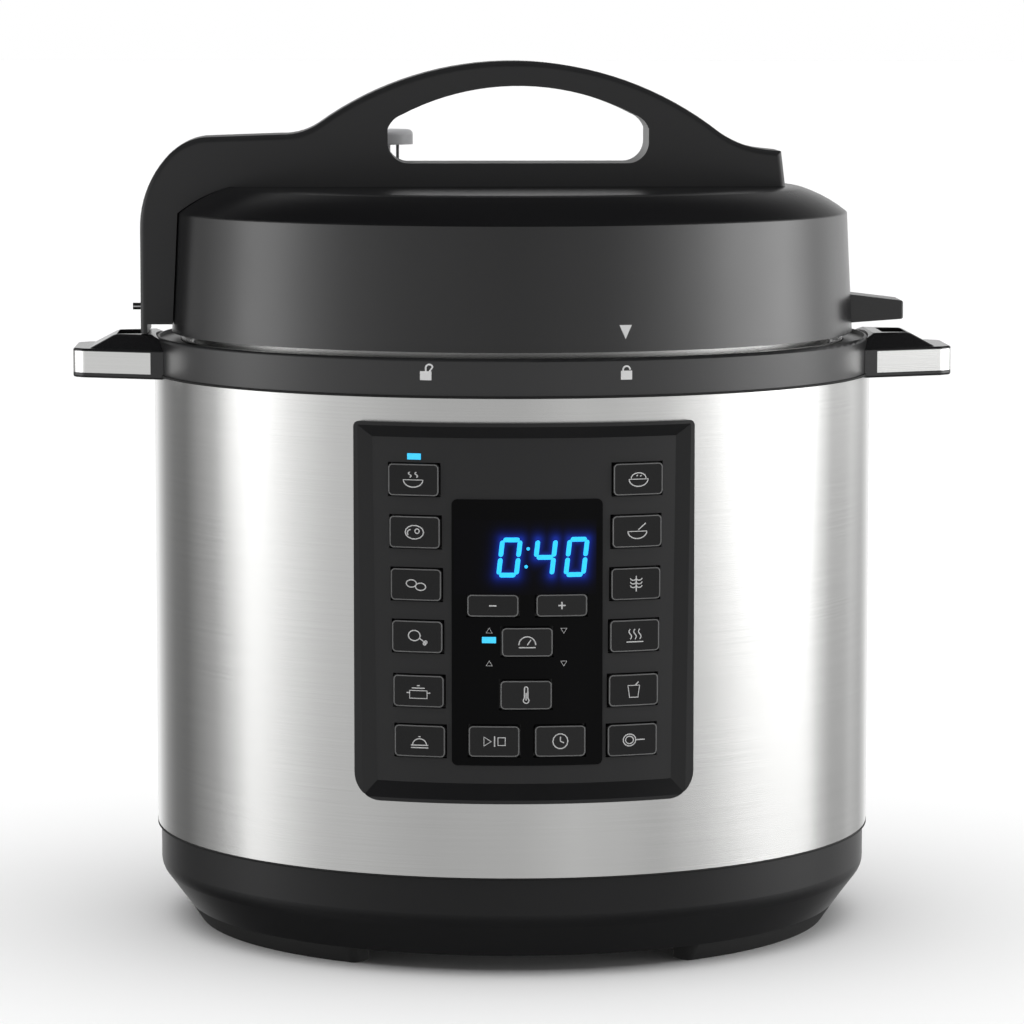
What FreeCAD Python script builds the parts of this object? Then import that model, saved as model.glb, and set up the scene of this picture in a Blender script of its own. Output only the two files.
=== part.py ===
import FreeCAD, Part
import math
import os
import Sketcher

# Electric pressure cooker, in millimetres. +Z is up and the control panel faces -Y.
# The origin is on the vertical axis, in the plane that the feet stand on.

# ---------------------------------------------------------------------------------------------
# Driving dimensions
# ---------------------------------------------------------------------------------------------
DIMENSIONS = [
    # outer body
    ("shell_radius", 136.7), ("shell_wall", 0.7), ("shell_bottom", 36.7), ("shell_top", 209.7),
    ("housing_radius", 135.4), ("housing_wall", 2.5), ("housing_lip", 5.3), ("skirt_bottom", 20.6),
    ("skirt_round", 8.0), ("floor_radius", 124.9), ("foot_height", 6.5),
    ("foot_radius", 120.5), ("foot_inner", 110.0), ("foot_angle", 56.0), ("foot_centre", 58.0),
    ("foot_round", 2.5),
    # bottom cover
    ("cover_radius", 103.0), ("cover_wall", 1.5), ("cover_ledge", 8.0), ("piece_gap", 0.3),
    ("screw_circle", 99.0), ("screw_radius", 1.4), ("screw_head", 3.2), ("screw_head_height", 1.8),
    ("screw_length", 7.0), ("boss_radius", 4.0), ("boss_height", 6.0), ("vent_length", 34.0),
    ("vent_width", 3.0), ("vent_start", 38.0), ("standoff_radius", 3.0), ("standoff_height", 10.0),
    # collar and bayonet
    ("collar_radius", 136.1), ("collar_top", 223.5), ("collar_wall", 2.5), ("collar_bore", 126.8),
    ("collar_round", 1.2), ("groove_radius", 134.7), ("groove_top", 222.0),
    ("bayonet_inner", 125.2), ("bayonet_wall", 1.2), ("bayonet_top", 222.6), ("bayonet_flange", 133.0),
    ("lug_angle", 26.0), ("lug_reach", 121.7), ("lug_bottom", 218.3), ("lug_thickness", 2.7),
    ("lid_lug_reach", 124.6), ("lid_lug_height", 3.0), ("lid_lug_bottom", 214.5),
    # liner, heater and sensor
    ("liner_inner", 116.0), ("liner_wall", 1.2), ("liner_floor", 40.0), ("liner_flange", 1.3),
    ("plate_radius", 98.0), ("plate_top", 56.0), ("plate_thickness", 6.0), ("plate_bore", 19.0),
    ("plate_round", 1.5), ("leg_circle", 85.0), ("leg_radius", 5.0), ("element_circle", 70.0),
    ("element_radius", 3.5), ("element_drop", 2.5), ("terminal_spacing", 12.0),
    ("terminal_radius", 2.5), ("terminal_length", 17.0), ("terminal_hole", 4.0),
    ("sensor_radius", 17.0), ("sensor_height", 4.0), ("stem_radius", 6.0), ("stem_length", 14.0),
    ("stem_hole", 7.0), ("sensor_round", 1.0), ("spring_radius", 9.0), ("spring_wire", 0.8),
    ("spring_turns", 4.0),
    # inner pot
    ("pot_inner", 111.0), ("pot_wall", 1.0), ("pot_base", 2.0), ("pot_rim_radius", 118.8),
    ("pot_rim_top", 215.0), ("pot_rim_height", 1.4), ("pot_round", 12.0),
    # lid
    ("band_bottom", 225.1), ("band_bottom_radius", 130.0), ("band_top", 270.3), ("band_top_radius", 127.8),
    ("shoulder_top_radius", 108.6), ("shoulder_radius", 52.0), ("lid_top", 280.2), ("lid_wall", 2.5),
    ("lid_crown_round", 14.0), ("band_round", 1.0), ("steel_top", 237.1), ("steel_wall", 1.2),
    ("dome_radius", 98.0), ("dome_foot", 108.0), ("skirt_radius", 121.2),
    ("post_circle", 60.0), ("post_radius", 6.0), ("lid_screw_radius", 1.8), ("lid_screw_head", 3.5),
    ("lid_screw_length", 14.0), ("lid_screw_height", 2.2),
    ("tab_reach", 149.2), ("tab_width", 22.0), ("tab_root_low", 227.8), ("tab_root_high", 239.0),
    ("tab_low", 229.4), ("tab_high", 236.3), ("tab_round", 1.0),
    ("seal_inner", 106.2), ("seal_outer", 118.4), ("seal_lip", 3.9), ("seal_roof", 3.1),
    ("rack_radius", 103.0), ("rack_wire", 1.4), ("rack_drop", 4.4), ("rack_top_radius", 94.5),
    # lid handle and its arm
    ("handle_width", 35.0), ("arm_reach", 141.3), ("arm_bottom", 228.3), ("arm_leg_bottom", 225.0),
    ("arm_leg_width", 2.6), ("arm_straight_top", 264.0), ("arm_elbow_x", 130.2), ("arm_elbow_z", 292.4),
    ("arm_flat_x", 117.0), ("arm_flat_z", 298.9), ("arm_end_x", 88.0), ("arm_end_z", 299.9),
    ("arm_lower_radius", 40.0), ("arm_upper_radius", 22.0), ("arch_left_x", 74.0), ("arch_radius", 127.0),
    ("arch_top", 327.5), ("arch_right_x", 78.0), ("left_fair_radius", 24.0), ("right_fair_radius", 38.0),
    ("tail_x", 96.0), ("tail_z", 294.0), ("tail_end_x", 101.6), ("tail_end_z", 293.4),
    ("tail_foot_x", 103.2), ("handle_round", 2.2), ("arm_gap", 0.5),
    ("grip_bottom", 289.0), ("grip_left_x", 47.6), ("grip_right_x", 51.2), ("grip_corner", 8.0),
    ("grip_side_z", 302.0), ("grip_thickness", 9.4), ("grip_side_radius", 9.0),
    ("grip_shoulder", 5.3),
    ("pin_radius", 1.3), ("pin_length", 11.0), ("pin_height", 234.2), ("pin_proud", 3.6),
    # valves
    ("valve_x", -52.0), ("valve_y", 48.0), ("pipe_radius", 4.5), ("pipe_bore", 1.6), ("pipe_top", 289.7),
    ("valve_bore", 4.58), ("valve_radius", 14.8), ("valve_bottom", 282.2), ("valve_top", 300.4),
    ("valve_head_bottom", 294.6), ("valve_neck", 6.0), ("valve_pin_x", 8.8), ("valve_pin", 0.6),
    ("valve_lever", 24.0), ("valve_lever_width", 9.0), ("valve_round", 2.0), ("valve_roof_gap", 0.3),
    ("valve_seat_radius", 15.0), ("valve_seat_height", 1.0), ("valve_hole", 6.5),
    ("shield_radius", 11.0), ("shield_wall", 1.0), ("shield_height", 11.0), ("shield_slots", 8),
    ("float_x", -78.0), ("float_y", 34.0), ("float_radius", 3.0), ("float_bore", 3.08),
    ("float_head", 4.5), ("float_head_height", 3.0), ("float_seat", 274.0), ("float_well", 5.5),
    ("float_guide", 8.0), ("float_bottom", 227.4), ("gasket_radius", 5.5), ("gasket_height", 2.2),
    ("gasket_drop", 5.3),
    # control panel
    ("panel_angle", 52.0), ("panel_bottom", 64.4), ("panel_top", 200.8), ("bezel_depth", 2.5),
    ("frame_side", 5.5), ("frame_top", 5.5), ("frame_bottom", 7.0), ("frame_rim", 1.3),
    ("frame_taper", 1.8), ("bezel_low_round", 10.0), ("bezel_high_round", 2.0),
    ("fascia_wall", 1.3), ("fascia_angle", 49.2), ("fascia_edge", 2.2), ("window_wall", 0.6),
    ("window_left", 26.1), ("window_right", 27.5), ("window_bottom", 78.0), ("window_top", 173.5),
    ("window_corner", 2.0), ("display_left", 20.0), ("display_right", 21.0), ("display_bottom", 144.0),
    ("display_top", 171.5), ("display_front", 133.2), ("board_front", 122.6), ("board_wall", 1.6),
    ("board_half", 50.0), ("board_bottom", 72.0), ("board_top", 193.0), ("board_post", 3.0),
    ("board_post_x", 46.0), ("board_post_low", 75.6), ("board_post_high", 191.0),
    ("button_gap", 0.3), ("button_proud", 0.8), ("button_flange", 1.0), ("button_flange_depth", 1.2),
    ("button_flange_drop", 1.3), ("button_corner", 1.5), ("button_edge", 0.4), ("button_stem", 2.0),
    ("button_stem_gap", 1.2), ("switch_size", 6.0), ("switch_height", 2.0), ("switch_plunger", 0.5),
    ("light_length", 5.0), ("light_height", 2.2), ("light_depth", 3.0), ("light_proud", 0.3),
    # side handles
    ("side_bottom", 208.4), ("side_top", 219.4), ("side_reach", 167.0), ("side_root_half", 33.0),
    ("side_end_half", 20.0), ("side_corner", 4.0), ("side_root_x", 132.3), ("side_corner_x", 163.0),
    ("side_tip_half", 16.0), ("side_edge", 0.8),
    ("band_low", 210.3), ("band_high", 218.4), ("trim_wall", 0.9), ("trim_start", 137.1),
    ("crown_top", 224.5), ("crown_start", 137.0), ("crown_end", 151.0), ("crown_half", 19.5),
    ("crown_inner", 125.0), ("crown_foot", 162.4), ("crown_inset", 0.5), ("crown_round", 6.0),
    ("slot_start", 141.0), ("slot_end", 150.6), ("slot_half", 12.4), ("slot_bottom", 211.0),
    ("side_screw_y", 20.0), ("side_screw_z", 214.8), ("side_screw_radius", 1.6),
    ("side_screw_head", 3.0), ("side_screw_height", 2.2), ("side_screw_length", 14.0),
    # rear
    ("inlet_width", 28.0), ("inlet_bottom", 14.0), ("inlet_height", 20.5), ("inlet_front", 112.0),
    ("inlet_back", 136.9), ("socket_width", 24.5), ("socket_height", 16.5), ("socket_depth", 16.0),
    ("socket_chamfer", 5.0), ("blade_width", 4.0), ("blade_thickness", 2.0), ("blade_pitch", 7.0),
    ("blade_rise", 2.0), ("blade_length", 13.0),
    ("cup_half", 24.0), ("cup_front", 138.2), ("cup_back", 157.0), ("cup_bottom", 165.0),
    ("cup_top", 206.5), ("cup_wall", 1.4), ("cup_round", 6.0), ("cup_flange", 2.6),
    ("cup_flange_depth", 1.9), ("rail_gap", 0.4), ("rail_wall", 2.4), ("rail_bottom", 186.0),
    ("rail_lip", 1.7),
    # electrics in the bottom
    ("power_board_half", 42.0), ("power_board_front", -86.0), ("power_board_depth", 50.0),
    ("power_board_wall", 1.6), ("part_height", 14.0), ("relay_width", 19.0), ("relay_depth", 15.0),
    ("coil_width", 26.0), ("coil_depth", 22.0), ("capacitor_radius", 8.0),
    ("switch_box", 16.0), ("switch_box_height", 18.0), ("switch_box_x", 34.0),
    ("fuse_radius", 3.0), ("fuse_length", 24.0), ("fuse_y", -30.0), ("fuse_clip", 8.0),
]

# Push buttons: name, chord position across the panel, height of the centre, width and height.
COLUMN_LEFT_TOP = -39.5
COLUMN_LEFT_LOW = -37.4
COLUMN_RIGHT_TOP = 40.2
COLUMN_RIGHT_LOW = 38.3
COLUMN_HEIGHTS = [180.2, 161.5, 142.7, 124.0, 104.4, 86.4]
COLUMN_BUTTON = (18.9, 11.7)
CENTRE_BUTTONS = [
    ("button_minus", -11.5, 135.7, 18.5, 8.2),
    ("button_plus", 12.8, 135.7, 18.5, 8.2),
    ("button_pressure", 0.6, 122.6, 18.4, 10.6),
    ("button_temperature", 0.2, 103.6, 18.6, 10.6),
    ("button_start_stop", -11.1, 86.9, 18.4, 11.4),
    ("button_delay", 12.3, 86.9, 18.4, 11.4),
]
LIGHTS = [(-39.4, 188.5, False), (-12.9, 123.3, True)]

doc = FreeCAD.newDocument("pressure_cooker")
sheet = doc.addObject("Spreadsheet::Sheet", "Sizes")
for row, (alias, number) in enumerate(DIMENSIONS, start=1):
    sheet.set("A%d" % row, alias)
    sheet.set("B%d" % row, str(number))
    sheet.setAlias("B%d" % row, alias)
doc.recompute()


class Size:
    """A length worked out from the sheet: its number, and the expression that a property is bound to."""

    def __init__(self, text, number):
        self.text = text
        self.number = float(number)

    def __float__(self):
        return self.number

    def __add__(self, other):
        return Size("(%s + %s)" % (self.text, text_of(other)), self.number + float(other))

    def __radd__(self, other):
        return self + other

    def __sub__(self, other):
        return Size("(%s - %s)" % (self.text, text_of(other)), self.number - float(other))

    def __rsub__(self, other):
        return Size("(%s - %s)" % (text_of(other), self.text), float(other) - self.number)

    def __mul__(self, other):
        return Size("(%s * %s)" % (self.text, text_of(other)), self.number * float(other))

    def __rmul__(self, other):
        return self * other

    def __truediv__(self, other):
        return Size("(%s / %s)" % (self.text, text_of(other)), self.number / float(other))

    def __neg__(self):
        return self * -1


def text_of(value):
    return value.text if isinstance(value, Size) else repr(float(value))


class Sheet:
    """The sheet's cells by name."""

    def __getattr__(self, alias):
        return Size("Sizes." + alias, sheet.get(alias))


s = Sheet()
pieces = []


def piece(shape_object, name):
    """Marks an object as a finished sub-part under the name of its node."""
    shape_object.Label = name
    pieces.append(shape_object)
    return shape_object


def bind(target, **values):
    for name, value in values.items():
        if isinstance(value, Size):
            target.setExpression(name, value.text)
        setattr(target, name, float(value))


def place(target, x=0, y=0, z=0):
    target.Placement.Base = FreeCAD.Vector(float(x), float(y), float(z))
    for axis, value in (("x", x), ("y", y), ("z", z)):
        if isinstance(value, Size):
            target.setExpression("Placement.Base." + axis, value.text)


# ---------------------------------------------------------------------------------------------
# Sketches and bodies
# ---------------------------------------------------------------------------------------------
def origin_plane(body, role):
    return [feature for feature in body.Origin.OriginFeatures if feature.Role == role][0]


def new_body(name):
    return doc.addObject("PartDesign::Body", name + "_body")


def new_sketch(body, role, offset=0):
    sketch = body.newObject("Sketcher::SketchObject", body.Name + "_sketch")
    sketch.AttachmentSupport = [(origin_plane(body, role), "")]
    sketch.MapMode = "FlatFace"
    sketch.AttachmentOffset.Base.z = float(offset)
    if isinstance(offset, Size):
        sketch.setExpression("AttachmentOffset.Base.z", offset.text)
    return sketch


def outline(sketch, points):
    """A closed outline. A point is (x, y), or (x, y, radius, turn) when an arc leads on from it."""
    corners = [FreeCAD.Vector(float(point[0]), float(point[1]), 0) for point in points]
    ends = []
    for index, point in enumerate(points):
        start = corners[index]
        end = corners[(index + 1) % len(points)]
        if len(point) == 2:
            number = sketch.addGeometry(Part.LineSegment(start, end))
            ends.append((number, 1, 2))
            continue
        radius, turn = point[2], point[3]
        half = (end - start).Length / 2
        side = FreeCAD.Vector(-(end - start).y, (end - start).x, 0).normalize()
        depth = math.sqrt(float(radius) ** 2 - half * half)
        centre = (start + end) * 0.5 + side * (turn * depth)
        first, last = (start, end) if turn > 0 else (end, start)
        angle_first = math.atan2(first.y - centre.y, first.x - centre.x)
        angle_last = math.atan2(last.y - centre.y, last.x - centre.x)
        circle = Part.Circle(centre, FreeCAD.Vector(0, 0, 1), float(radius))
        number = sketch.addGeometry(Part.ArcOfCircle(circle, angle_first, angle_last))
        ends.append((number, 1, 2) if turn > 0 else (number, 2, 1))
    for index, (number, start_end, far_end) in enumerate(ends):
        following, following_start, _ = ends[(index + 1) % len(ends)]
        sketch.addConstraint(Sketcher.Constraint("Coincident", number, far_end, following, following_start))
    for (number, start_end, _), point in zip(ends, points):
        for kind, value, axis in (("DistanceX", point[0], -2), ("DistanceY", point[1], -1)):
            if float(value) == 0:
                sketch.addConstraint(Sketcher.Constraint("PointOnObject", number, start_end, axis))
                continue
            constraint = Sketcher.Constraint(kind, -1, 1, number, start_end, float(value))
            held = sketch.addConstraint(constraint)
            if isinstance(value, Size):
                sketch.setExpression("Constraints[%d]" % held, value.text)
        if len(point) == 4:
            held = sketch.addConstraint(Sketcher.Constraint("Radius", number, float(point[2])))
            sketch.setExpression("Constraints[%d]" % held, text_of(point[2]))


def turned(name, points):
    """A body turned about the vertical axis from its half section: points are (radius, height)."""
    body = new_body(name)
    sketch = new_sketch(body, "XZ_Plane")
    outline(sketch, points)
    turn = body.newObject("PartDesign::Revolution", name + "_turned")
    turn.Profile = sketch
    turn.ReferenceAxis = (sketch, ["V_Axis"])
    turn.Angle = 360
    return body


def padded(body, role, points, start, length, taper=0):
    """Adds a pad of the outline to a body, from the offset start along the plane's normal."""
    sketch = new_sketch(body, role, start)
    outline(sketch, points)
    pad = body.newObject("PartDesign::Pad", body.Name + "_pad")
    pad.Profile = sketch
    bind(pad, Length=length)
    if float(taper) != 0:
        pad.TaperAngle = -float(taper)
    return pad


def rounded(body, radius, wanted):
    """Fillets the edges of the body's last feature for which wanted(edge) is true."""
    doc.recompute()
    tip = body.Tip
    names = ["Edge%d" % (i + 1) for i, edge in enumerate(tip.Shape.Edges) if wanted(edge)]
    fillet = body.newObject("PartDesign::Fillet", body.Name + "_fillet")
    fillet.Base = (tip, names)
    bind(fillet, Radius=radius)
    return fillet


def near(a, b, tolerance=0.01):
    return abs(float(a) - float(b)) < tolerance


def ring_edge(radius, height):
    """Tells whether an edge is the whole circle of this radius at this height."""
    def wanted(edge):
        curve = edge.Curve
        return isinstance(curve, Part.Circle) and near(curve.Radius, radius) and near(curve.Center.z, height)
    return wanted


def upright(edge):
    box = edge.BoundBox
    return box.ZLength > 0.1 and box.XLength < 0.01 and box.YLength < 0.01


# ---------------------------------------------------------------------------------------------
# Primitives and booleans
# ---------------------------------------------------------------------------------------------
def box(name, x, y, z, length, width, height):
    """A box from its lowest corner."""
    made = doc.addObject("Part::Box", name)
    bind(made, Length=length, Width=width, Height=height)
    place(made, x, y, z)
    return made


def cylinder(name, x, y, z, radius, height, angle=360):
    made = doc.addObject("Part::Cylinder", name)
    bind(made, Radius=radius, Height=height, Angle=angle)
    place(made, x, y, z)
    return made


def rod(name, start, end, radius):
    """A round bar from one point to another; the points are lengths from the sheet."""
    low = FreeCAD.Vector(*[float(value) for value in start])
    high = FreeCAD.Vector(*[float(value) for value in end])
    made = doc.addObject("Part::Cylinder", name)
    bind(made, Radius=radius)
    made.Height = (high - low).Length
    made.Placement = FreeCAD.Placement(low, FreeCAD.Rotation(FreeCAD.Vector(0, 0, 1), high - low))
    return made


def fused(name, *shapes):
    made = doc.addObject("Part::MultiFuse", name)
    made.Shapes = list(shapes)
    return made


def group(name, shapes):
    made = doc.addObject("Part::Compound", name)
    made.Links = list(shapes)
    return made


def cut(name, base, *tools):
    made = doc.addObject("Part::Cut", name)
    made.Base = base
    made.Tool = tools[0] if len(tools) == 1 else fused(name + "_tools", *tools)
    return made


def common(name, base, tool):
    made = doc.addObject("Part::Common", name)
    made.Base = base
    made.Tool = tool
    return made


def filleted(name, base, radius, wanted):
    doc.recompute()
    made = doc.addObject("Part::Fillet", name)
    made.Base = base
    made.Edges = [(i + 1, float(radius), float(radius))
                  for i, edge in enumerate(base.Shape.Edges) if wanted(edge)]
    return made


def spin(target, degrees):
    """Turns a placed object about the vertical axis through the origin."""
    for axis in ("x", "y", "z"):
        target.setExpression("Placement.Base." + axis, None)
    turn = FreeCAD.Rotation(FreeCAD.Vector(0, 0, 1), degrees)
    target.Placement = FreeCAD.Placement(FreeCAD.Vector(0, 0, 0), turn).multiply(target.Placement)
    return target


def sector(name, inner, outer, bottom, height, middle, width):
    """A block between two radii, width degrees wide about the direction middle (0 is +X)."""
    solid = cylinder(name + "_outer", 0, 0, bottom, outer, height, width)
    hollow = cylinder(name + "_inner", 0, 0, bottom - 1, inner, height + 2)
    spin(solid, middle - float(width) / 2)
    return cut(name, solid, hollow)


FRONT = -90.0


def chord_angle(chord, radius):
    """The turn from the front that brings a point on this radius to this distance from the centre line."""
    return math.degrees(math.asin(float(chord) / float(radius)))


# ---------------------------------------------------------------------------------------------
# Lower housing, feet and bottom cover
# ---------------------------------------------------------------------------------------------
cover_seat = s.foot_height + s.cover_wall
floor_top = cover_seat + s.housing_wall
inner_wall = s.housing_radius - s.housing_wall
lip_radius = s.shell_radius - s.shell_wall
slant_foot = s.floor_radius - s.housing_wall
housing = turned("housing", [
    (s.housing_radius, s.shell_bottom),
    (s.housing_radius, s.skirt_bottom),
    (s.floor_radius, s.foot_height),
    (s.cover_radius + s.piece_gap, s.foot_height),
    (s.cover_radius + s.piece_gap, cover_seat),
    (s.cover_radius - s.cover_ledge, cover_seat),
    (s.cover_radius - s.cover_ledge, floor_top),
    (slant_foot, floor_top),
    (inner_wall, s.skirt_bottom),
    (inner_wall, s.shell_bottom + s.housing_lip),
    (lip_radius, s.shell_bottom + s.housing_lip),
    (lip_radius, s.shell_bottom),
])
rounded(housing, s.skirt_round, ring_edge(s.housing_radius, s.skirt_bottom))

screw_angles = [45, 135, 225, 315]
bosses = []
boss_holes = []
cover_holes = []
screws = []
for angle in screw_angles:
    boss = cylinder("boss", s.screw_circle, 0, floor_top - 0.5, s.boss_radius, s.boss_height + 0.5)
    bosses.append(spin(boss, angle))
    hole = cylinder("boss_hole", s.screw_circle, 0, s.foot_height, s.screw_radius, s.screw_length)
    boss_holes.append(spin(hole, angle))
    hole = cylinder("cover_hole", s.screw_circle, 0, 0, s.screw_radius + s.piece_gap, s.foot_height * 2)
    cover_holes.append(spin(hole, angle))
    shank = cylinder("shank", s.screw_circle, 0, s.foot_height - 0.5, s.screw_radius, s.screw_length + 0.5)
    head_low = s.foot_height - s.screw_head_height
    head = cylinder("head", s.screw_circle, 0, head_low, s.screw_head, s.screw_head_height)
    screws.append(fused("bottom_screw", spin(shank, angle), spin(head, angle)))
piece(group("screws_group", screws), "bottom_screws")

inlet_room = box("inlet_room", -s.inlet_width / 2, s.inlet_front - 10, s.inlet_bottom,
                 s.inlet_width, 40, s.inlet_height)
housing_bossed = fused("housing_bossed", housing, *bosses)
piece(cut("housing_cut", housing_bossed, inlet_room, *boss_holes), "base_housing")

feet = []
for number, centre in enumerate([s.foot_centre, 180 - s.foot_centre, -s.foot_centre, s.foot_centre - 180]):
    cone = doc.addObject("Part::Cone", "foot_cone")
    bind(cone, Radius1=s.foot_radius, Radius2=s.floor_radius, Height=s.foot_height, Angle=s.foot_angle)
    spin(cone, FRONT + float(centre) - float(s.foot_angle) / 2)
    hollow = cylinder("foot_hollow", 0, 0, -1, s.foot_inner, s.foot_height + 2)
    foot = cut("foot_%d" % number, cone, hollow)
    radial = lambda edge: edge.BoundBox.ZLength > 1 and isinstance(edge.Curve, Part.Line)
    feet.append(filleted("foot_rounded_%d" % number, foot, s.foot_round, radial))
piece(group("feet_group", feet), "feet")

vents = []
vent_count = 16
for number in range(vent_count):
    slot = box("vent", s.vent_start, -s.vent_width / 2, 0, s.vent_length, s.vent_width, s.foot_height * 2)
    vents.append(spin(slot, 360 / vent_count * (number + 0.5)))
cover_disc = cylinder("cover_disc", 0, 0, s.foot_height, s.cover_radius, s.cover_wall)
cover_cut = cut("cover_cut", cover_disc, *(vents + cover_holes))
board_back = s.power_board_front + s.power_board_depth
standoffs = []
for side in (-1, 1):
    for y in (s.power_board_front + s.standoff_radius + 1, board_back - s.standoff_radius - 1):
        standoffs.append(cylinder("standoff", (s.power_board_half - s.standoff_radius - 1) * side, y,
                                  cover_seat - 0.5, s.standoff_radius, s.standoff_height + 0.5))
piece(fused("cover_fused", cover_cut, *standoffs), "bottom_cover")

# ---------------------------------------------------------------------------------------------
# Steel shell, liner, collar and bayonet ring
# ---------------------------------------------------------------------------------------------
shell = turned("shell", [
    (lip_radius, s.shell_bottom), (s.shell_radius, s.shell_bottom),
    (s.shell_radius, s.shell_top), (lip_radius, s.shell_top),
])
fascia_bottom = s.panel_bottom + s.fascia_edge
fascia_top = s.panel_top - s.fascia_edge
half_cut = float(s.shell_radius) * math.sin(math.radians(float(s.fascia_angle) / 2)) + 0.4
panel_room = box("panel_room", -half_cut, -s.shell_radius - 5, fascia_bottom - s.piece_gap,
                 2 * half_cut, 50, fascia_top - fascia_bottom + s.piece_gap * 2)
piece(cut("shell_cut", shell, panel_room), "outer_shell")

liner_outer = s.liner_inner + s.liner_wall
liner_flange_low = s.shell_top - s.liner_flange
liner = turned("liner", [
    (s.stem_hole, s.liner_floor), (liner_outer, s.liner_floor), (liner_outer, liner_flange_low),
    (lip_radius, liner_flange_low), (lip_radius, s.shell_top), (s.liner_inner, s.shell_top),
    (s.liner_inner, s.liner_floor + s.liner_wall), (s.stem_hole, s.liner_floor + s.liner_wall),
])
terminal_holes = [cylinder("terminal_hole", s.terminal_spacing * side / 2, s.element_circle,
                           s.liner_floor - 1, s.terminal_hole, s.liner_wall + 2) for side in (-1, 1)]
piece(cut("liner_cut", liner, *terminal_holes), "liner")

collar_shelf = s.collar_top - s.collar_wall
collar = turned("collar", [
    (s.collar_radius, s.shell_top), (s.collar_radius, s.collar_top), (s.groove_radius, s.collar_top),
    (s.groove_radius, s.groove_top), (s.collar_bore, s.groove_top), (s.collar_bore, collar_shelf),
    (s.collar_radius - s.collar_wall, collar_shelf),
    (s.collar_radius - s.collar_wall, s.shell_top),
])
rounded(collar, s.collar_round, ring_edge(s.collar_radius, s.collar_top))

# Rails at the back guide the condensation cup's flanges and close over them.
rails = []
for side in (-1, 1):
    channel = s.cup_half + s.cup_flange + s.rail_gap
    rail = box("rail", channel, s.shell_radius - 9, s.rail_bottom, s.rail_wall,
               s.cup_front + s.cup_flange_depth + s.rail_gap + s.rail_lip - s.shell_radius + 9,
               s.collar_top - s.collar_wall - s.rail_bottom)
    lip = box("lip", s.cup_half + s.rail_gap, s.cup_front + s.cup_flange_depth + s.rail_gap, s.rail_bottom,
              s.cup_flange + s.rail_wall, s.rail_lip, s.collar_top - s.collar_wall - s.rail_bottom)
    whole = fused("rail_whole", rail, lip)
    if side < 0:
        mirrored = doc.addObject("Part::Mirroring", "rail_mirrored")
        mirrored.Source = whole
        mirrored.Normal = FreeCAD.Vector(1, 0, 0)
        whole = mirrored
    rails.append(whole)
rail_clear = cylinder("rail_clear", 0, 0, s.rail_bottom - 1, s.shell_radius, s.shell_top - s.rail_bottom + 1)
rail_clear_high = cylinder("rail_clear_high", 0, 0, s.shell_top - 1, s.collar_radius - 1, 20)
rails_cut = cut("rails_cut", fused("rails", *rails), rail_clear, rail_clear_high)
side_screw_holes = []
side_screws = []
for x_side in (-1, 1):
    for y_side in (-1, 1):
        y = s.side_screw_y * y_side
        seat = math.sqrt(float(s.collar_radius - s.collar_wall) ** 2
                         - (float(s.side_screw_y) + float(s.side_screw_head)) ** 2)
        start = (x_side * (seat - float(s.side_screw_height)), y, s.side_screw_z)
        shoulder = (x_side * seat, y, s.side_screw_z)
        end = (x_side * (seat + float(s.side_screw_length)), y, s.side_screw_z)
        side_screw_holes.append(rod("side_hole", start, end, s.side_screw_radius))
        side_screws.append(fused("side_screw", rod("side_head", start, shoulder, s.side_screw_head),
                                 rod("side_shank", start, end, s.side_screw_radius)))
piece(group("side_screws", side_screws), "handle_screws")
piece(cut("collar_cut", fused("collar_railed", collar, rails_cut), *side_screw_holes), "collar_ring")

bayonet_outer = s.bayonet_inner + s.bayonet_wall
bayonet = turned("bayonet", [
    (s.bayonet_inner, s.shell_top), (bayonet_outer, s.shell_top),
    (bayonet_outer, collar_shelf - s.bayonet_wall), (s.bayonet_flange, collar_shelf - s.bayonet_wall),
    (s.bayonet_flange, collar_shelf), (bayonet_outer, collar_shelf), (bayonet_outer, s.bayonet_top),
    (s.bayonet_inner, s.bayonet_top),
])
lug_count = 6
lugs = [sector("ring_lug_%d" % n, s.lug_reach, s.bayonet_inner + 0.3, s.lug_bottom, s.lug_thickness,
               360 / lug_count * n, s.lug_angle) for n in range(lug_count)]
piece(fused("bayonet_lugged", bayonet, *lugs), "bayonet_ring")

# ---------------------------------------------------------------------------------------------
# Heating plate, element, temperature sensor and bottom electrics
# ---------------------------------------------------------------------------------------------
plate_bottom = s.plate_top - s.plate_thickness
element_height = plate_bottom - s.element_drop
plate = turned("plate", [
    (s.plate_bore, plate_bottom), (s.plate_radius, plate_bottom),
    (s.plate_radius, s.plate_top), (s.plate_bore, s.plate_top),
])
rounded(plate, s.plate_round, ring_edge(s.plate_radius, s.plate_top))
leg_low = s.liner_floor + s.liner_wall
legs = [spin(cylinder("leg", s.leg_circle, 0, leg_low, s.leg_radius, plate_bottom - leg_low + 0.5), 30 + 120 * n)
        for n in range(3)]


def torus(name, circle, radius, height):
    made = doc.addObject("Part::Torus", name)
    bind(made, Radius1=circle, Radius2=radius)
    place(made, 0, 0, height)
    return made


groove = torus("groove", s.element_circle, s.element_radius, element_height)
piece(cut("plate_cut", fused("plate_legs", plate, *legs), groove), "heating_plate")
terminals = [cylinder("terminal", s.terminal_spacing * side / 2, s.element_circle,
                      element_height - s.terminal_length, s.terminal_radius, s.terminal_length)
             for side in (-1, 1)]
element = torus("element", s.element_circle, s.element_radius, element_height)
piece(fused("element_fused", element, *terminals), "heating_element")

sensor_bottom = s.plate_top - s.sensor_height
sensor = turned("sensor", [
    (0, sensor_bottom - s.stem_length), (s.stem_radius, sensor_bottom - s.stem_length),
    (s.stem_radius, sensor_bottom), (s.sensor_radius, sensor_bottom),
    (s.sensor_radius, s.plate_top), (0, s.plate_top),
])
rounded(sensor, s.sensor_round, ring_edge(s.sensor_radius, s.plate_top))
piece(sensor, "sensor_cap")

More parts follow.
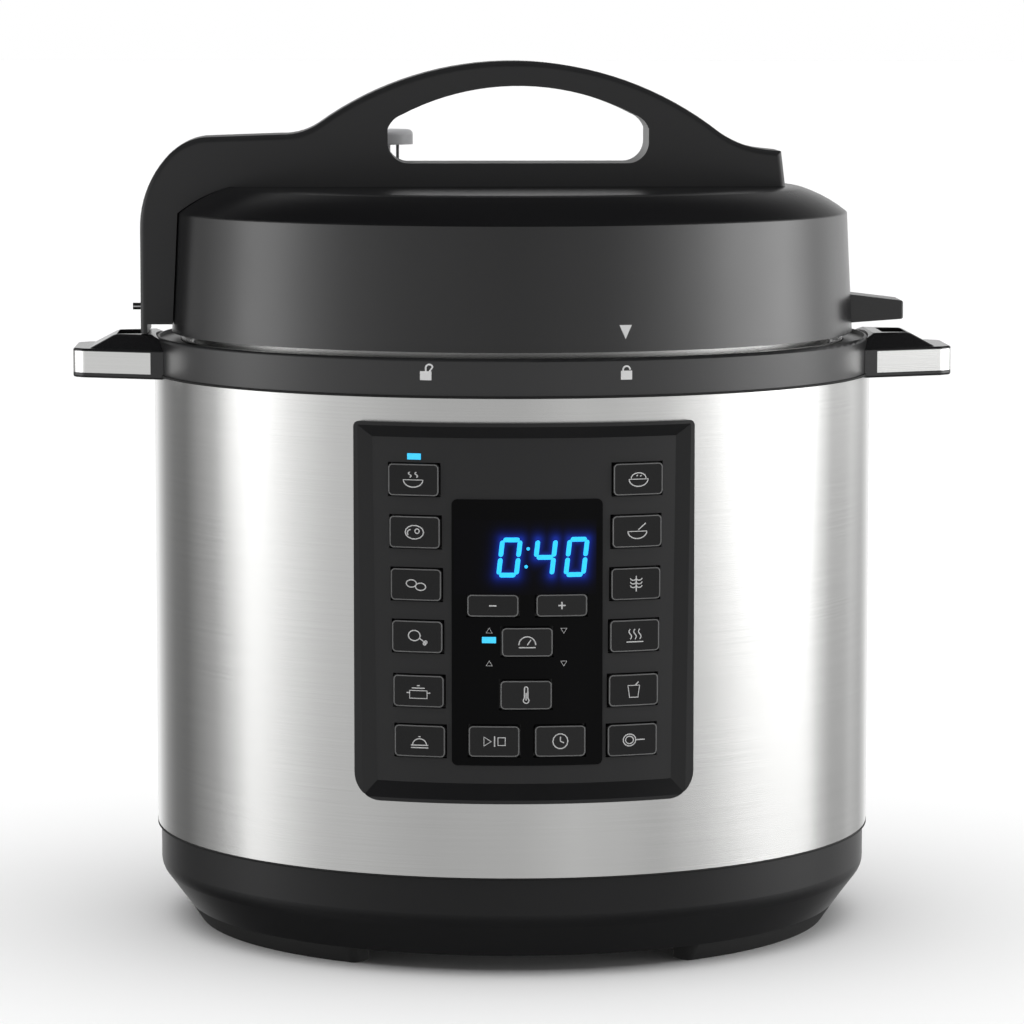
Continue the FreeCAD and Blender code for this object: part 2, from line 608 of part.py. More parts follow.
# The sensor's spring is a round wire wound between the liner's floor and the sensor's cap.
wire = float(s.spring_wire)
coil_height = float(sensor_bottom - leg_low) - 2 * wire
helix = Part.makeHelix(coil_height / float(s.spring_turns), coil_height, float(s.spring_radius))
section = Part.Wire(Part.makeCircle(wire, FreeCAD.Vector(float(s.spring_radius), 0, 0),
                                    FreeCAD.Vector(0, 1, 0)))
spring = doc.addObject("Part::Feature", "spring")
spring.Shape = Part.Wire(helix.Edges).makePipeShell([section], True, True)
spring.Placement.Base = FreeCAD.Vector(0, 0, float(leg_low) + wire)
piece(spring, "sensor_spring")

switch_body = box("switch_body", s.switch_box_x, -s.switch_box / 2, s.liner_floor - s.switch_box_height,
                  s.switch_box, s.switch_box, s.switch_box_height)
switch_tab = box("switch_tab", s.switch_box_x - 5, -s.switch_box / 4, s.liner_floor - s.cover_wall,
                 s.switch_box + 10, s.switch_box / 2, s.cover_wall)
piece(fused("switch_fused", switch_body, switch_tab), "pressure_switch")

fuse_height = s.liner_floor - s.fuse_radius - 1
fuse_tube = rod("fuse_tube", (-s.fuse_length / 2, s.fuse_y, fuse_height),
                (s.fuse_length / 2, s.fuse_y, fuse_height), s.fuse_radius)
fuse_clip = box("fuse_clip", -s.fuse_clip / 2, s.fuse_y - s.fuse_clip / 2, fuse_height,
                s.fuse_clip, s.fuse_clip, s.liner_floor - fuse_height)
piece(fused("fuse_fused", fuse_tube, fuse_clip), "thermal_fuse")

board_low = cover_seat + s.standoff_height
board_high = board_low + s.power_board_wall
power_plate = box("power_plate", -s.power_board_half, s.power_board_front, board_low,
                  s.power_board_half * 2, s.power_board_depth, s.power_board_wall)
relay = box("relay", -s.power_board_half + 6, s.power_board_front + 8, board_high - 0.5,
            s.relay_width, s.relay_depth, s.part_height)
coil = box("coil", -s.coil_width / 2 + 4, s.power_board_front + 12, board_high - 0.5,
           s.coil_width, s.coil_depth, s.part_height)
capacitor = cylinder("capacitor", s.power_board_half - 12, s.power_board_front + 18, board_high - 0.5,
                     s.capacitor_radius, s.part_height)
piece(fused("power_fused", power_plate, relay, coil, capacitor), "power_board")

# ---------------------------------------------------------------------------------------------
# Control panel: bezel, face, display window, lights, boards and buttons
# ---------------------------------------------------------------------------------------------
def panel_block(name, x, height, width, tall, back, depth):
    """A box that faces straight out of the curved panel at the given chord and height."""
    made = doc.addObject("Part::Box", name)
    bind(made, Length=width, Width=depth, Height=tall)
    corner = FreeCAD.Vector(-float(width) / 2, -float(back) - float(depth), float(height) - float(tall) / 2)
    turn = FreeCAD.Rotation(FreeCAD.Vector(0, 0, 1), chord_angle(x, s.shell_radius))
    made.Placement = FreeCAD.Placement(turn.multVec(corner), turn)
    return made


column_names = ["soup", "meat", "bean", "poultry", "slow_cook", "warm"]
right_names = ["rice", "porridge", "multigrain", "steam", "yogurt", "saute"]
buttons = []
for index, height in enumerate(COLUMN_HEIGHTS):
    drop = (COLUMN_HEIGHTS[0] - height) / (COLUMN_HEIGHTS[0] - COLUMN_HEIGHTS[-1])
    left = COLUMN_LEFT_TOP + (COLUMN_LEFT_LOW - COLUMN_LEFT_TOP) * drop
    right = COLUMN_RIGHT_TOP + (COLUMN_RIGHT_LOW - COLUMN_RIGHT_TOP) * drop
    buttons.append(("button_" + column_names[index], left, height, COLUMN_BUTTON[0], COLUMN_BUTTON[1], False))
    buttons.append(("button_" + right_names[index], right, height, COLUMN_BUTTON[0], COLUMN_BUTTON[1], False))
for name, x, height, width, tall in CENTRE_BUTTONS:
    buttons.append((name, x, height, width, tall, True))

fascia_back = s.shell_radius - s.fascia_wall
window_front = s.shell_radius + s.window_wall


def rectangle(width, tall):
    return [(-width / 2, -tall / 2), (width / 2, -tall / 2), (width / 2, tall / 2), (-width / 2, tall / 2)]


fascia_holes = []
window_holes = []
switches = []
flange_back = fascia_back - s.button_flange_drop - s.button_flange_depth
switch_tip = s.board_front + s.switch_height + s.switch_plunger
for name, x, height, width, tall, in_window in buttons:
    turn = chord_angle(x, s.shell_radius)
    front = (window_front if in_window else s.shell_radius) + s.button_proud
    hole = panel_block(name + "_hole", x, height, width + s.button_gap * 2, tall + s.button_gap * 2,
                       s.shell_radius - 6, 16)
    fascia_holes.append(hole)
    if in_window:
        window_holes.append(panel_block(name + "_window_hole", x, height, width + s.button_gap * 2,
                                        tall + s.button_gap * 2, s.shell_radius - 6, 16))
    key = new_body(name)
    flange = s.button_flange * 2
    padded(key, "XZ_Plane", rectangle(flange + width, flange + tall), flange_back, s.button_flange_depth)
    cap_start = flange_back + s.button_flange_depth
    padded(key, "XZ_Plane", rectangle(s.button_flange * 0 + width, s.button_flange * 0 + tall),
           cap_start, front - cap_start)
    stem_end = (float(switch_tip) + float(s.button_stem_gap)) / math.cos(math.radians(turn))
    stem_sketch = new_sketch(key, "XZ_Plane", flange_back)
    stem_sketch.addGeometry(Part.Circle(FreeCAD.Vector(0, 0, 0), FreeCAD.Vector(0, 0, 1), float(s.button_stem)))
    stem_sketch.addConstraint(Sketcher.Constraint("Coincident", 0, 3, -1, 1))
    held = stem_sketch.addConstraint(Sketcher.Constraint("Radius", 0, float(s.button_stem)))
    stem_sketch.setExpression("Constraints[%d]" % held, s.button_stem.text)
    stem = key.newObject("PartDesign::Pad", name + "_stem")
    stem.Profile = stem_sketch
    stem.Reversed = True
    stem.Length = float(flange_back) - stem_end
    # The cap's corners are rounded first, and then the rim of its front face.
    corner_x = width / 2
    corner_z = tall / 2

    def cap_corner(edge):
        centre = edge.CenterOfMass
        straight = edge.BoundBox.XLength < 0.01 and edge.BoundBox.ZLength < 0.01
        return straight and near(abs(centre.x), corner_x) and near(abs(centre.z), corner_z)

    rounded(key, s.button_corner, cap_corner)
    rounded(key, s.button_edge, lambda edge: near(edge.BoundBox.YMin, -front) and near(edge.BoundBox.YMax, -front))
    key.Placement = FreeCAD.Placement(FreeCAD.Vector(0, 0, height),
                                      FreeCAD.Rotation(FreeCAD.Vector(0, 0, 1), turn))
    piece(key, name)
    switch_x = float(s.board_front) * math.tan(math.radians(turn))
    can = box("switch_can", switch_x - s.switch_size / 2, -s.board_front - s.switch_height,
              height - s.switch_size / 2, s.switch_size, s.switch_height, s.switch_size)
    nib = rod("switch_nib", (switch_x, -s.board_front - s.switch_height / 2, height),
              (switch_x, -switch_tip, height), s.button_stem)
    switches.append(fused("switch", can, nib))
piece(group("switch_group", switches), "tactile_switches")

lights = []
for x, height, in_window in LIGHTS:
    front = (window_front if in_window else s.shell_radius) + s.light_proud
    fascia_holes.append(panel_block("light_hole", x, height, s.light_length, s.light_height,
                                    s.shell_radius - 6, 16))
    if in_window:
        window_holes.append(panel_block("light_window_hole", x, height, s.light_length, s.light_height,
                                        s.shell_radius - 6, 16))
    lights.append(panel_block("light", x, height, s.light_length, s.light_height,
                              front - s.light_depth, s.light_depth))
piece(group("light_group", lights), "indicator_lights")

display_room = box("display_room", -s.display_left, -150, s.display_bottom,
                   s.display_left + s.display_right, 30, s.display_top - s.display_bottom)
fascia = sector("fascia", fascia_back, s.shell_radius, fascia_bottom, fascia_top - fascia_bottom,
                FRONT, s.fascia_angle)
fascia_cut = cut("fascia_cut", fascia, display_room, *fascia_holes)
posts = []
for side in (-1, 1):
    for height in (s.board_post_low, s.board_post_high):
        posts.append(rod("board_post", (s.board_post_x * side, -s.board_front, height),
                         (s.board_post_x * side, -s.shell_radius, height), s.board_post))
post_trim = cylinder("post_trim", 0, 0, s.panel_bottom, fascia_back + s.fascia_wall / 2,
                     s.panel_top - s.panel_bottom)
posts_trimmed = common("posts_trimmed", fused("posts", *posts), post_trim)
piece(fused("fascia_posted", fascia_cut, posts_trimmed), "panel_fascia")

window_low = chord_angle(-s.window_left, s.shell_radius)
window_high = chord_angle(s.window_right, s.shell_radius)
window = sector("window", s.shell_radius, window_front, s.window_bottom, s.window_top - s.window_bottom,
                FRONT + (window_low + window_high) / 2, window_high - window_low)
across = lambda edge: (isinstance(edge.Curve, Part.Line) and edge.BoundBox.ZLength < 0.01
                       and edge.Length < float(s.window_wall) + 0.5)
window_rounded = filleted("window_rounded", window, s.window_corner, across)
piece(cut("window_cut", window_rounded, *window_holes), "display_window")

bezel_front = s.shell_radius + s.bezel_depth
bezel = sector("bezel", s.shell_radius, bezel_front, s.panel_bottom, s.panel_top - s.panel_bottom,
               FRONT, s.panel_angle)


def bezel_corner(height):
    return lambda edge: (isinstance(edge.Curve, Part.Line) and edge.BoundBox.ZLength < 0.01
                         and near(edge.CenterOfMass.z, height))


bezel_low = filleted("bezel_low", bezel, s.bezel_low_round, bezel_corner(s.panel_bottom))
bezel_high = filleted("bezel_high", bezel_low, s.bezel_high_round, bezel_corner(s.panel_top))

# The frame slopes inwards on all four sides: a turned wedge makes the slopes at top and bottom,
# and a loft whose plan narrows downwards makes the slopes at the sides.
over = s.bezel_depth
room = turned("room", [
    (s.shell_radius - 20, s.panel_bottom + s.frame_bottom),
    (s.shell_radius, s.panel_bottom + s.frame_bottom),
    (bezel_front + over, s.panel_bottom + s.frame_rim * 2 - s.frame_bottom),
    (bezel_front + over, s.panel_top - s.frame_rim * 2 + s.frame_top),
    (s.shell_radius, s.panel_top - s.frame_top),
    (s.shell_radius - 20, s.panel_top - s.frame_top),
])


def window_plan(narrowing, height):
    """The plan of the opening's sides: straight back behind the face and splayed in front of it."""
    radius = float(s.shell_radius)
    half_angle = math.radians(float(s.panel_angle) / 2)
    inner_half = radius * math.sin(half_angle) - float(s.frame_side) - narrowing
    inner_depth = math.sqrt(radius ** 2 - inner_half ** 2)
    front = float(bezel_front)
    outer_half = front * math.sin(half_angle) - float(s.frame_rim) - narrowing
    outer_depth = math.sqrt(front ** 2 - outer_half ** 2)
    reach_x = outer_half + (outer_half - inner_half) * 2
    reach_y = outer_depth + (outer_depth - inner_depth) * 2
    z = float(height)
    half = [(inner_half, -inner_depth + 25, z), (inner_half, -inner_depth, z), (reach_x, -reach_y, z)]
    plan = half + [(reach_x, -front - 12, z), (-reach_x, -front - 12, z)]
    plan += [(-reach_x, -reach_y, z), (-inner_half, -inner_depth, z), (-inner_half, -inner_depth + 25, z)]
    wire = doc.addObject("Part::Polygon", "window_plan")
    wire.Nodes = [FreeCAD.Vector(*point) for point in plan]
    wire.Close = True
    return wire


sides = doc.addObject("Part::Loft", "window_sides")
sides.Sections = [window_plan(float(s.frame_taper), s.panel_bottom - 5), window_plan(0, s.panel_top + 5)]
sides.Solid = True
sides.Ruled = True
piece(cut("bezel_cut", bezel_high, common("window_tool", room, sides)), "panel_bezel")

piece(box("display_box", -s.display_left + s.piece_gap, -s.display_front, s.display_bottom + s.piece_gap,
          s.display_left + s.display_right - s.piece_gap * 2, s.display_front - s.board_front,
          s.display_top - s.display_bottom - s.piece_gap * 2), "display_module")
piece(box("control_plate", -s.board_half, -s.board_front, s.board_bottom, s.board_half * 2,
          s.board_wall, s.board_top - s.board_bottom), "control_board")

# ---------------------------------------------------------------------------------------------
# Side handles with their steel trim
# ---------------------------------------------------------------------------------------------
def side_plan(inset):
    """A side handle's plan from above, from inside the collar outwards, set in by a distance."""
    root = s.side_root_half - inset
    corner = s.side_end_half - inset
    tip = s.side_tip_half - inset
    return [
        (s.crown_inner, -root), (s.side_root_x, -root), (s.side_corner_x - inset, -corner),
        (s.side_reach - inset, -tip), (s.side_reach - inset, tip), (s.side_corner_x - inset, corner),
        (s.side_root_x, root), (s.crown_inner, root),
    ]


def side_block(name, inset, bottom, top):
    """A pad of the side handle's plan with its four outer corners rounded."""
    block = new_body(name)
    padded(block, "XY_Plane", side_plan(inset), bottom, top - bottom)
    for corner_x in (s.side_corner_x - inset, s.side_reach - inset):
        rounded(block, s.side_corner - inset,
                lambda edge: upright(edge) and near(edge.CenterOfMass.x, corner_x, 0.1))
    return block


def crown_plan(inner, half, outer, height):
    """The crown's outline at one height; its ends run parallel to the ends of the handle below."""
    slope = float(s.side_root_half - s.side_end_half) / float(s.side_corner_x - s.side_root_x)
    far_half = half - (outer - inner) * slope
    wire = doc.addObject("Part::Polygon", "crown_plan")
    corners = [(inner, -half), (outer, -far_half), (outer, far_half), (inner, half)]
    wire.Nodes = [FreeCAD.Vector(x, y, height) for x, y in corners]
    wire.Close = True
    return wire, slope


side = side_block("side", 0, s.side_bottom, s.side_top)
for level in (s.side_bottom, s.side_top):
    rounded(side, s.side_edge,
            lambda edge: near(edge.BoundBox.ZMin, level) and near(edge.BoundBox.ZMax, level)
            and edge.CenterOfMass.x > float(s.shell_radius))
crown_low = float(s.side_top) - 1
crown_high, side_slope = crown_plan(float(s.crown_start), float(s.crown_half), float(s.crown_end),
                                    float(s.crown_top))
foot_half = float(s.side_root_half) + float(s.side_root_x - s.crown_inner) * side_slope - float(s.crown_inset)
crown_foot, side_slope = crown_plan(float(s.crown_inner), foot_half, float(s.crown_foot), crown_low)
crown = doc.addObject("Part::Loft", "crown")
crown.Sections = [crown_foot, crown_high]
crown.Solid = True
crown.Ruled = True
crown_rounded = filleted("crown_rounded", crown, s.crown_round,
                         lambda edge: edge.BoundBox.ZMax > float(s.crown_top) - 0.01
                         and edge.CenterOfMass.x > float(s.crown_start) + 1)
slot = box("slot", s.slot_start, -s.slot_half, s.slot_bottom, s.slot_end - s.slot_start,
           s.slot_half * 2, s.crown_top - s.slot_bottom + 1)
shell_clear = cylinder("shell_clear", 0, 0, s.side_bottom - 5, s.shell_radius,
                       s.shell_top - s.side_bottom + 5)
collar_clear = cylinder("collar_clear", 0, 0, s.shell_top - 1, s.collar_radius,
                        s.crown_top - s.shell_top + 2)
trim_outer = side_block("trim_outer", 0, s.band_low, s.band_high)
trim_inner = side_block("trim_inner", s.trim_wall, s.band_low - 1, s.band_high + 1)
trim_stop = box("trim_stop", 0, -100, s.band_low - 2, s.trim_start, 200, s.band_high - s.band_low + 4)
trim = cut("trim", trim_outer, trim_inner, trim_stop)
side_whole = fused("side_whole", side, crown_rounded)
side_cut = cut("side_cut", side_whole, slot, shell_clear, collar_clear, trim, *side_screw_holes)


def mirror_image(name, source):
    made = doc.addObject("Part::Mirroring", name)
    made.Source = source
    made.Normal = FreeCAD.Vector(1, 0, 0)
    return made


piece(side_cut, "right_handle")
piece(mirror_image("side_mirrored", side_cut), "left_handle")
piece(trim, "right_handle_band")
piece(mirror_image("trim_mirrored", trim), "left_handle_band")

# ---------------------------------------------------------------------------------------------
# Power inlet and condensation cup at the back
# ---------------------------------------------------------------------------------------------
inlet_block = box("inlet_block", -s.inlet_width / 2, s.inlet_front, s.inlet_bottom,
                  s.inlet_width, s.inlet_back - s.inlet_front, s.inlet_height)
socket_middle = s.inlet_bottom + s.inlet_height / 2
socket_low = socket_middle - s.socket_height / 2
socket_high = socket_middle + s.socket_height / 2
socket_half = s.socket_width / 2
socket_body = new_body("socket")
padded(socket_body, "XZ_Plane", [
    (-socket_half, socket_low), (socket_half, socket_low), (socket_half, socket_high - s.socket_chamfer),
    (socket_half - s.socket_chamfer, socket_high), (-socket_half + s.socket_chamfer, socket_high),
    (-socket_half, socket_high - s.socket_chamfer),
], -s.inlet_back - 1, s.socket_depth + 1)
blades = []
for across_steps, rise in ((-1, -s.blade_rise), (0, s.blade_rise), (1, -s.blade_rise)):
    blades.append(box("blade", s.blade_pitch * across_steps - s.blade_thickness / 2,
                      s.inlet_back - s.socket_depth - 1, socket_middle + rise - s.blade_width / 2,
                      s.blade_thickness, s.blade_length + 1, s.blade_width))
piece(fused("inlet_fused", cut("inlet_cut", inlet_block, socket_body), *blades), "power_inlet")

cup_outer = box("cup_outer", -s.cup_half, s.cup_front, s.cup_bottom, s.cup_half * 2,
                s.cup_back - s.cup_front, s.cup_top - s.cup_bottom)
back_upright = lambda edge: upright(edge) and edge.CenterOfMass.y > float(s.cup_back) - 1
cup_rounded = filleted("cup_rounded", cup_outer, s.cup_round, back_upright)
cup_hollow = box("cup_hollow", -s.cup_half + s.cup_wall, s.cup_front + s.cup_wall, s.cup_bottom + s.cup_wall,
                 s.cup_half * 2 - s.cup_wall * 2, s.cup_back - s.cup_front - s.cup_wall * 2,
                 s.cup_top - s.cup_bottom)
hollow_back = lambda edge: upright(edge) and edge.CenterOfMass.y > float(s.cup_back) - 3
cup_hollow_rounded = filleted("cup_hollow_rounded", cup_hollow, s.cup_round - s.cup_wall, hollow_back)
flanges = box("cup_flanges", -s.cup_half - s.cup_flange, s.cup_front, s.rail_bottom + 2,
              s.cup_half * 2 + s.cup_flange * 2, s.cup_flange_depth, s.cup_top - s.rail_bottom - 2)
piece(cut("cup_cut", fused("cup_flanged", cup_rounded, flanges), cup_hollow_rounded), "condensation_cup")

# ---------------------------------------------------------------------------------------------
# Inner pot and sealing ring
# ---------------------------------------------------------------------------------------------
pot_outer = s.pot_inner + s.pot_wall
pot_floor = s.plate_top + s.pot_base
pot = turned("pot", [
    (0, s.plate_top), (pot_outer, s.plate_top), (pot_outer, s.pot_rim_top - s.pot_rim_height),
    (s.pot_rim_radius, s.pot_rim_top - s.pot_rim_height), (s.pot_rim_radius, s.pot_rim_top),
    (s.pot_inner, s.pot_rim_top), (s.pot_inner, pot_floor), (0, pot_floor),
])
rounded(pot, s.pot_round, ring_edge(pot_outer, s.plate_top))
rounded(pot, s.pot_round - s.pot_wall, ring_edge(s.pot_inner, pot_floor))
piece(pot, "inner_pot")

lid_ceiling = s.band_bottom - s.steel_wall
seal_top = lid_ceiling - s.piece_gap
seal_inner_foot = s.seal_inner + s.seal_lip - 0.6
seal = turned("seal", [
    (s.seal_inner, s.pot_rim_top + 0.8), (seal_inner_foot, s.pot_rim_top + 0.8),
    (seal_inner_foot, seal_top - s.seal_roof), (s.seal_outer - s.seal_lip, seal_top - s.seal_roof),
    (s.seal_outer - s.seal_lip, s.pot_rim_top), (s.seal_outer, s.pot_rim_top),
    (s.seal_outer, seal_top), (s.seal_inner, seal_top),
])
piece(seal, "sealing_ring")

# ---------------------------------------------------------------------------------------------
# Lid: steel lid, cover, ring rack, screws
# ---------------------------------------------------------------------------------------------
steel_under = s.steel_top - s.steel_wall
steel = turned("steel", [
    (0, s.steel_top), (s.dome_radius, s.steel_top), (s.dome_foot, s.band_bottom),
    (s.skirt_radius, s.band_bottom), (s.skirt_radius, s.lid_lug_bottom),
    (s.skirt_radius - s.steel_wall, s.lid_lug_bottom), (s.skirt_radius - s.steel_wall, lid_ceiling),
    (s.dome_foot - s.steel_wall * 0.6, lid_ceiling), (s.dome_radius - s.steel_wall * 0.5, steel_under),
    (0, steel_under),
])
lid_lugs = [sector("lid_lug_%d" % n, s.skirt_radius - 0.3, s.lid_lug_reach, s.lid_lug_bottom,
                   s.lid_lug_height, 360 / lug_count * n, s.lug_angle) for n in range(lug_count)]
post_angles = [90, 210, 330]
lid_screw_holes = []
lid_screws = []
cover_posts = []
for angle in post_angles:
    hole_low = steel_under - 1
    lid_screw_holes.append(spin(cylinder("lid_screw_hole", s.post_circle, 0, hole_low, s.lid_screw_radius,
                                         s.lid_screw_length + 1), angle))
    shank = cylinder("lid_shank", s.post_circle, 0, hole_low, s.lid_screw_radius, s.lid_screw_length + 1)
    head = cylinder("lid_head", s.post_circle, 0, steel_under - s.lid_screw_height, s.lid_screw_head,
                    s.lid_screw_height)
    lid_screws.append(fused("lid_screw", spin(shank, angle), spin(head, angle)))
    post = cylinder("post", s.post_circle, 0, s.steel_top, s.post_radius, s.lid_top - s.steel_top - 1)
    cover_posts.append(spin(post, angle))
piece(group("lid_screw_group", lid_screws), "lid_screws")
pipe_hole = cylinder("pipe_hole", s.valve_x, s.valve_y, steel_under - 3, s.pipe_radius, 10)
float_hole = cylinder("float_hole", s.float_x, s.float_y, steel_under - 3, s.float_bore, 10)
piece(cut("steel_cut", fused("steel_lugged", steel, *lid_lugs), pipe_hole, float_hole, *lid_screw_holes),
      "pressure_lid")

cover = turned("cover", [
    (s.band_bottom_radius, s.band_bottom),
    (s.band_top_radius, s.band_top, s.shoulder_radius, 1),
    (s.shoulder_top_radius, s.lid_top),
    (0, s.lid_top), (0, s.lid_top - s.lid_wall), (s.shoulder_top_radius - s.lid_wall, s.lid_top - s.lid_wall),
    (s.band_top_radius - s.lid_wall, s.band_top - s.lid_wall * 0.4),
    (s.band_bottom_radius - s.lid_wall, s.band_bottom + s.lid_wall),
    (s.dome_foot + 3, s.band_bottom + s.lid_wall), (s.dome_foot + 3, s.band_bottom),
])
rounded(cover, s.lid_crown_round, ring_edge(s.shoulder_top_radius, s.lid_top))
rounded(cover, s.band_round, ring_edge(s.band_top_radius, s.band_top))
tab = new_body("tab")
padded(tab, "XZ_Plane", [
    (s.band_bottom_radius - 3, s.tab_root_low), (s.tab_reach, s.tab_low),
    (s.tab_reach, s.tab_high), (s.band_bottom_radius - 3, s.tab_root_high),
], -s.tab_width / 2, s.tab_width)
rounded(tab, s.tab_round, lambda edge: near(edge.BoundBox.XMin, s.tab_reach))
guide = cylinder("guide", s.float_x, s.float_y, s.steel_top, s.float_guide, s.lid_top - s.steel_top - 1)
seat_ring = cylinder("seat_ring", s.valve_x, s.valve_y, s.lid_top - 1, s.valve_seat_radius,
                     s.valve_seat_height + 1)
guide_bore = cylinder("guide_bore", s.float_x, s.float_y, s.steel_top - 1, s.float_bore, 60)
guide_well = cylinder("guide_well", s.float_x, s.float_y, s.float_seat, s.float_well, 20)
valve_hole = cylinder("valve_hole", s.valve_x, s.valve_y, s.lid_top - s.lid_wall - 1, s.valve_hole, 20)
cover_whole = fused("cover_whole", cover, tab, guide, seat_ring, *cover_posts)
post_drills = [spin(cylinder("post_drill", s.post_circle, 0, s.steel_top - 1, s.lid_screw_radius,
                             s.lid_screw_length - s.steel_wall + 1), angle) for angle in post_angles]
piece(cut("cover_drilled", cover_whole, guide_bore, guide_well, valve_hole, *post_drills), "lid_cover")

rack_height = seal_top - s.rack_drop
rack_high = steel_under - s.rack_wire
rack_rods = []
for n in range(lug_count):
    turn = math.radians(60 * n + 30)
    foot = (float(s.rack_radius) * math.cos(turn), float(s.rack_radius) * math.sin(turn), rack_height)
    head = (float(s.rack_top_radius) * math.cos(turn), float(s.rack_top_radius) * math.sin(turn), rack_high)
    rack_rods.append(rod("rack_rod", foot, head, s.rack_wire * 0.8))
piece(fused("rack_fused", torus("rack_low", s.rack_radius, s.rack_wire, rack_height),
            torus("rack_high", s.rack_top_radius, s.rack_wire, rack_high), *rack_rods), "ring_rack")

# ---------------------------------------------------------------------------------------------
# Lid handle with the arm that wraps down the lid's side
# ---------------------------------------------------------------------------------------------
def arch_height(x):
    """The height of the arch's outer circle above the lid at a distance from the axis."""
    radius = float(s.arch_radius)
    return float(s.arch_top) - radius + math.sqrt(radius ** 2 - float(x) ** 2)


handle = new_body("handle")
padded(handle, "XZ_Plane", [
    (-s.arm_reach, s.arm_leg_bottom),
    (-s.arm_reach, s.arm_straight_top, s.arm_lower_radius, -1),
    (-s.arm_elbow_x, s.arm_elbow_z, s.arm_upper_radius, -1),
    (-s.arm_flat_x, s.arm_flat_z),
    (-s.arm_end_x, s.arm_end_z, s.left_fair_radius, 1),
    (-s.arch_left_x, arch_height(s.arch_left_x), s.arch_radius, -1),
    (s.arch_right_x, arch_height(s.arch_right_x), s.right_fair_radius, 1),
    (s.tail_x, s.tail_z),
    (s.tail_end_x, s.tail_end_z),
    (s.tail_foot_x, s.lid_top),
    (s.tail_foot_x, s.lid_top - 5),
    (-s.band_top_radius + 20, s.lid_top - 12),
    (-s.band_top_radius + 5, s.arm_bottom),
    (-s.arm_reach + s.arm_leg_width, s.arm_bottom),
    (-s.arm_reach + s.arm_leg_width, s.arm_leg_bottom),
], -s.handle_width / 2, s.handle_width)
rounded(handle, s.handle_round, lambda edge: near(edge.BoundBox.YLength, 0)
        and edge.BoundBox.ZMax > float(s.lid_top) - 4 and edge.CenterOfMass.z > float(s.lid_top) - 3
        or near(edge.BoundBox.XMax, -s.arm_reach) and near(edge.BoundBox.YLength, 0))
# The opening's roof is one arc; it meets the sides in rounded shoulders.
roof_half = (s.grip_left_x + s.grip_right_x) / 2 - s.grip_shoulder
roof_rise = s.arch_top - s.grip_thickness - s.grip_side_z - s.grip_shoulder
roof_radius = (roof_half * roof_half + roof_rise * roof_rise) / (roof_rise * 2)
grip = new_body("grip")
padded(grip, "XZ_Plane", [
    (-s.grip_left_x, s.grip_bottom + s.grip_corner, s.grip_corner, 1),
    (-s.grip_left_x + s.grip_corner, s.grip_bottom),
    (s.grip_right_x - s.grip_corner, s.grip_bottom, s.grip_corner, 1),
    (s.grip_right_x, s.grip_bottom + s.grip_corner),
    (s.grip_right_x, s.grip_side_z, s.grip_side_radius, 1),
    (s.grip_right_x - s.grip_shoulder, s.grip_side_z + s.grip_shoulder, roof_radius, 1),
    (-s.grip_left_x + s.grip_shoulder, s.grip_side_z + s.grip_shoulder, s.grip_side_radius, 1),
    (-s.grip_left_x, s.grip_side_z),
], -s.handle_width, s.handle_width * 2)
envelope = turned("envelope", [
    (0, s.arm_bottom - 20), (s.band_bottom_radius + s.arm_gap, s.arm_bottom - 20),
    (s.band_bottom_radius + s.arm_gap, s.band_bottom),
    (s.band_top_radius + s.arm_gap, s.band_top, s.shoulder_radius, 1),
    (s.shoulder_top_radius, s.lid_top), (0, s.lid_top),
])
pin_bore = rod("pin_bore", (-s.arm_reach - s.pin_proud, 0, s.pin_height),
               (-s.arm_reach - s.pin_proud + s.pin_length, 0, s.pin_height), s.pin_radius)
piece(cut("handle_cut", handle, grip, envelope, pin_bore), "lid_handle")
pin = rod("pin", (-s.arm_reach - s.pin_proud, 0, s.pin_height),
          (-s.arm_reach - s.pin_proud + s.pin_length, 0, s.pin_height), s.pin_radius)
piece(pin, "arm_screw")

# ---------------------------------------------------------------------------------------------
# Steam valve, its pipe and shield, and the float valve
# ---------------------------------------------------------------------------------------------
pipe_low = steel_under - 4
pipe_solid = cylinder("pipe_solid", s.valve_x, s.valve_y, pipe_low, s.pipe_radius, s.pipe_top - pipe_low)
pipe_bore = cylinder("pipe_bore", s.valve_x, s.valve_y, pipe_low - 1, s.pipe_bore, s.pipe_top - pipe_low + 2)
piece(cut("pipe_cut", pipe_solid, pipe_bore), "valve_pipe")

head_height = s.valve_top - s.valve_head_bottom
valve_head = cylinder("valve_head", s.valve_x, s.valve_y, s.valve_head_bottom, s.valve_radius, head_height)
valve_lever = box("valve_lever", s.valve_x - s.valve_lever, s.valve_y - s.valve_lever_width / 2,
                  s.valve_head_bottom, s.valve_lever, s.valve_lever_width, head_height)
valve_neck = cylinder("valve_neck", s.valve_x, s.valve_y, s.valve_bottom, s.valve_neck,
                      s.valve_head_bottom - s.valve_bottom + 1)
valve_pin = cylinder("valve_pin", s.valve_x + s.valve_pin_x, s.valve_y, s.valve_bottom, s.valve_pin,
                     s.valve_head_bottom - s.valve_bottom + 1)
valve_whole = fused("valve_whole", valve_head, valve_lever, valve_neck, valve_pin)
valve_soft = filleted("valve_soft", valve_whole, s.valve_round,
                      lambda edge: near(edge.BoundBox.ZMin, s.valve_top))
valve_room = cylinder("valve_room", s.valve_x, s.valve_y, s.valve_bottom - 1, s.valve_bore,
                      s.pipe_top + s.valve_roof_gap - s.valve_bottom + 1)
piece(cut("valve_cut", valve_soft, valve_room), "steam_valve")

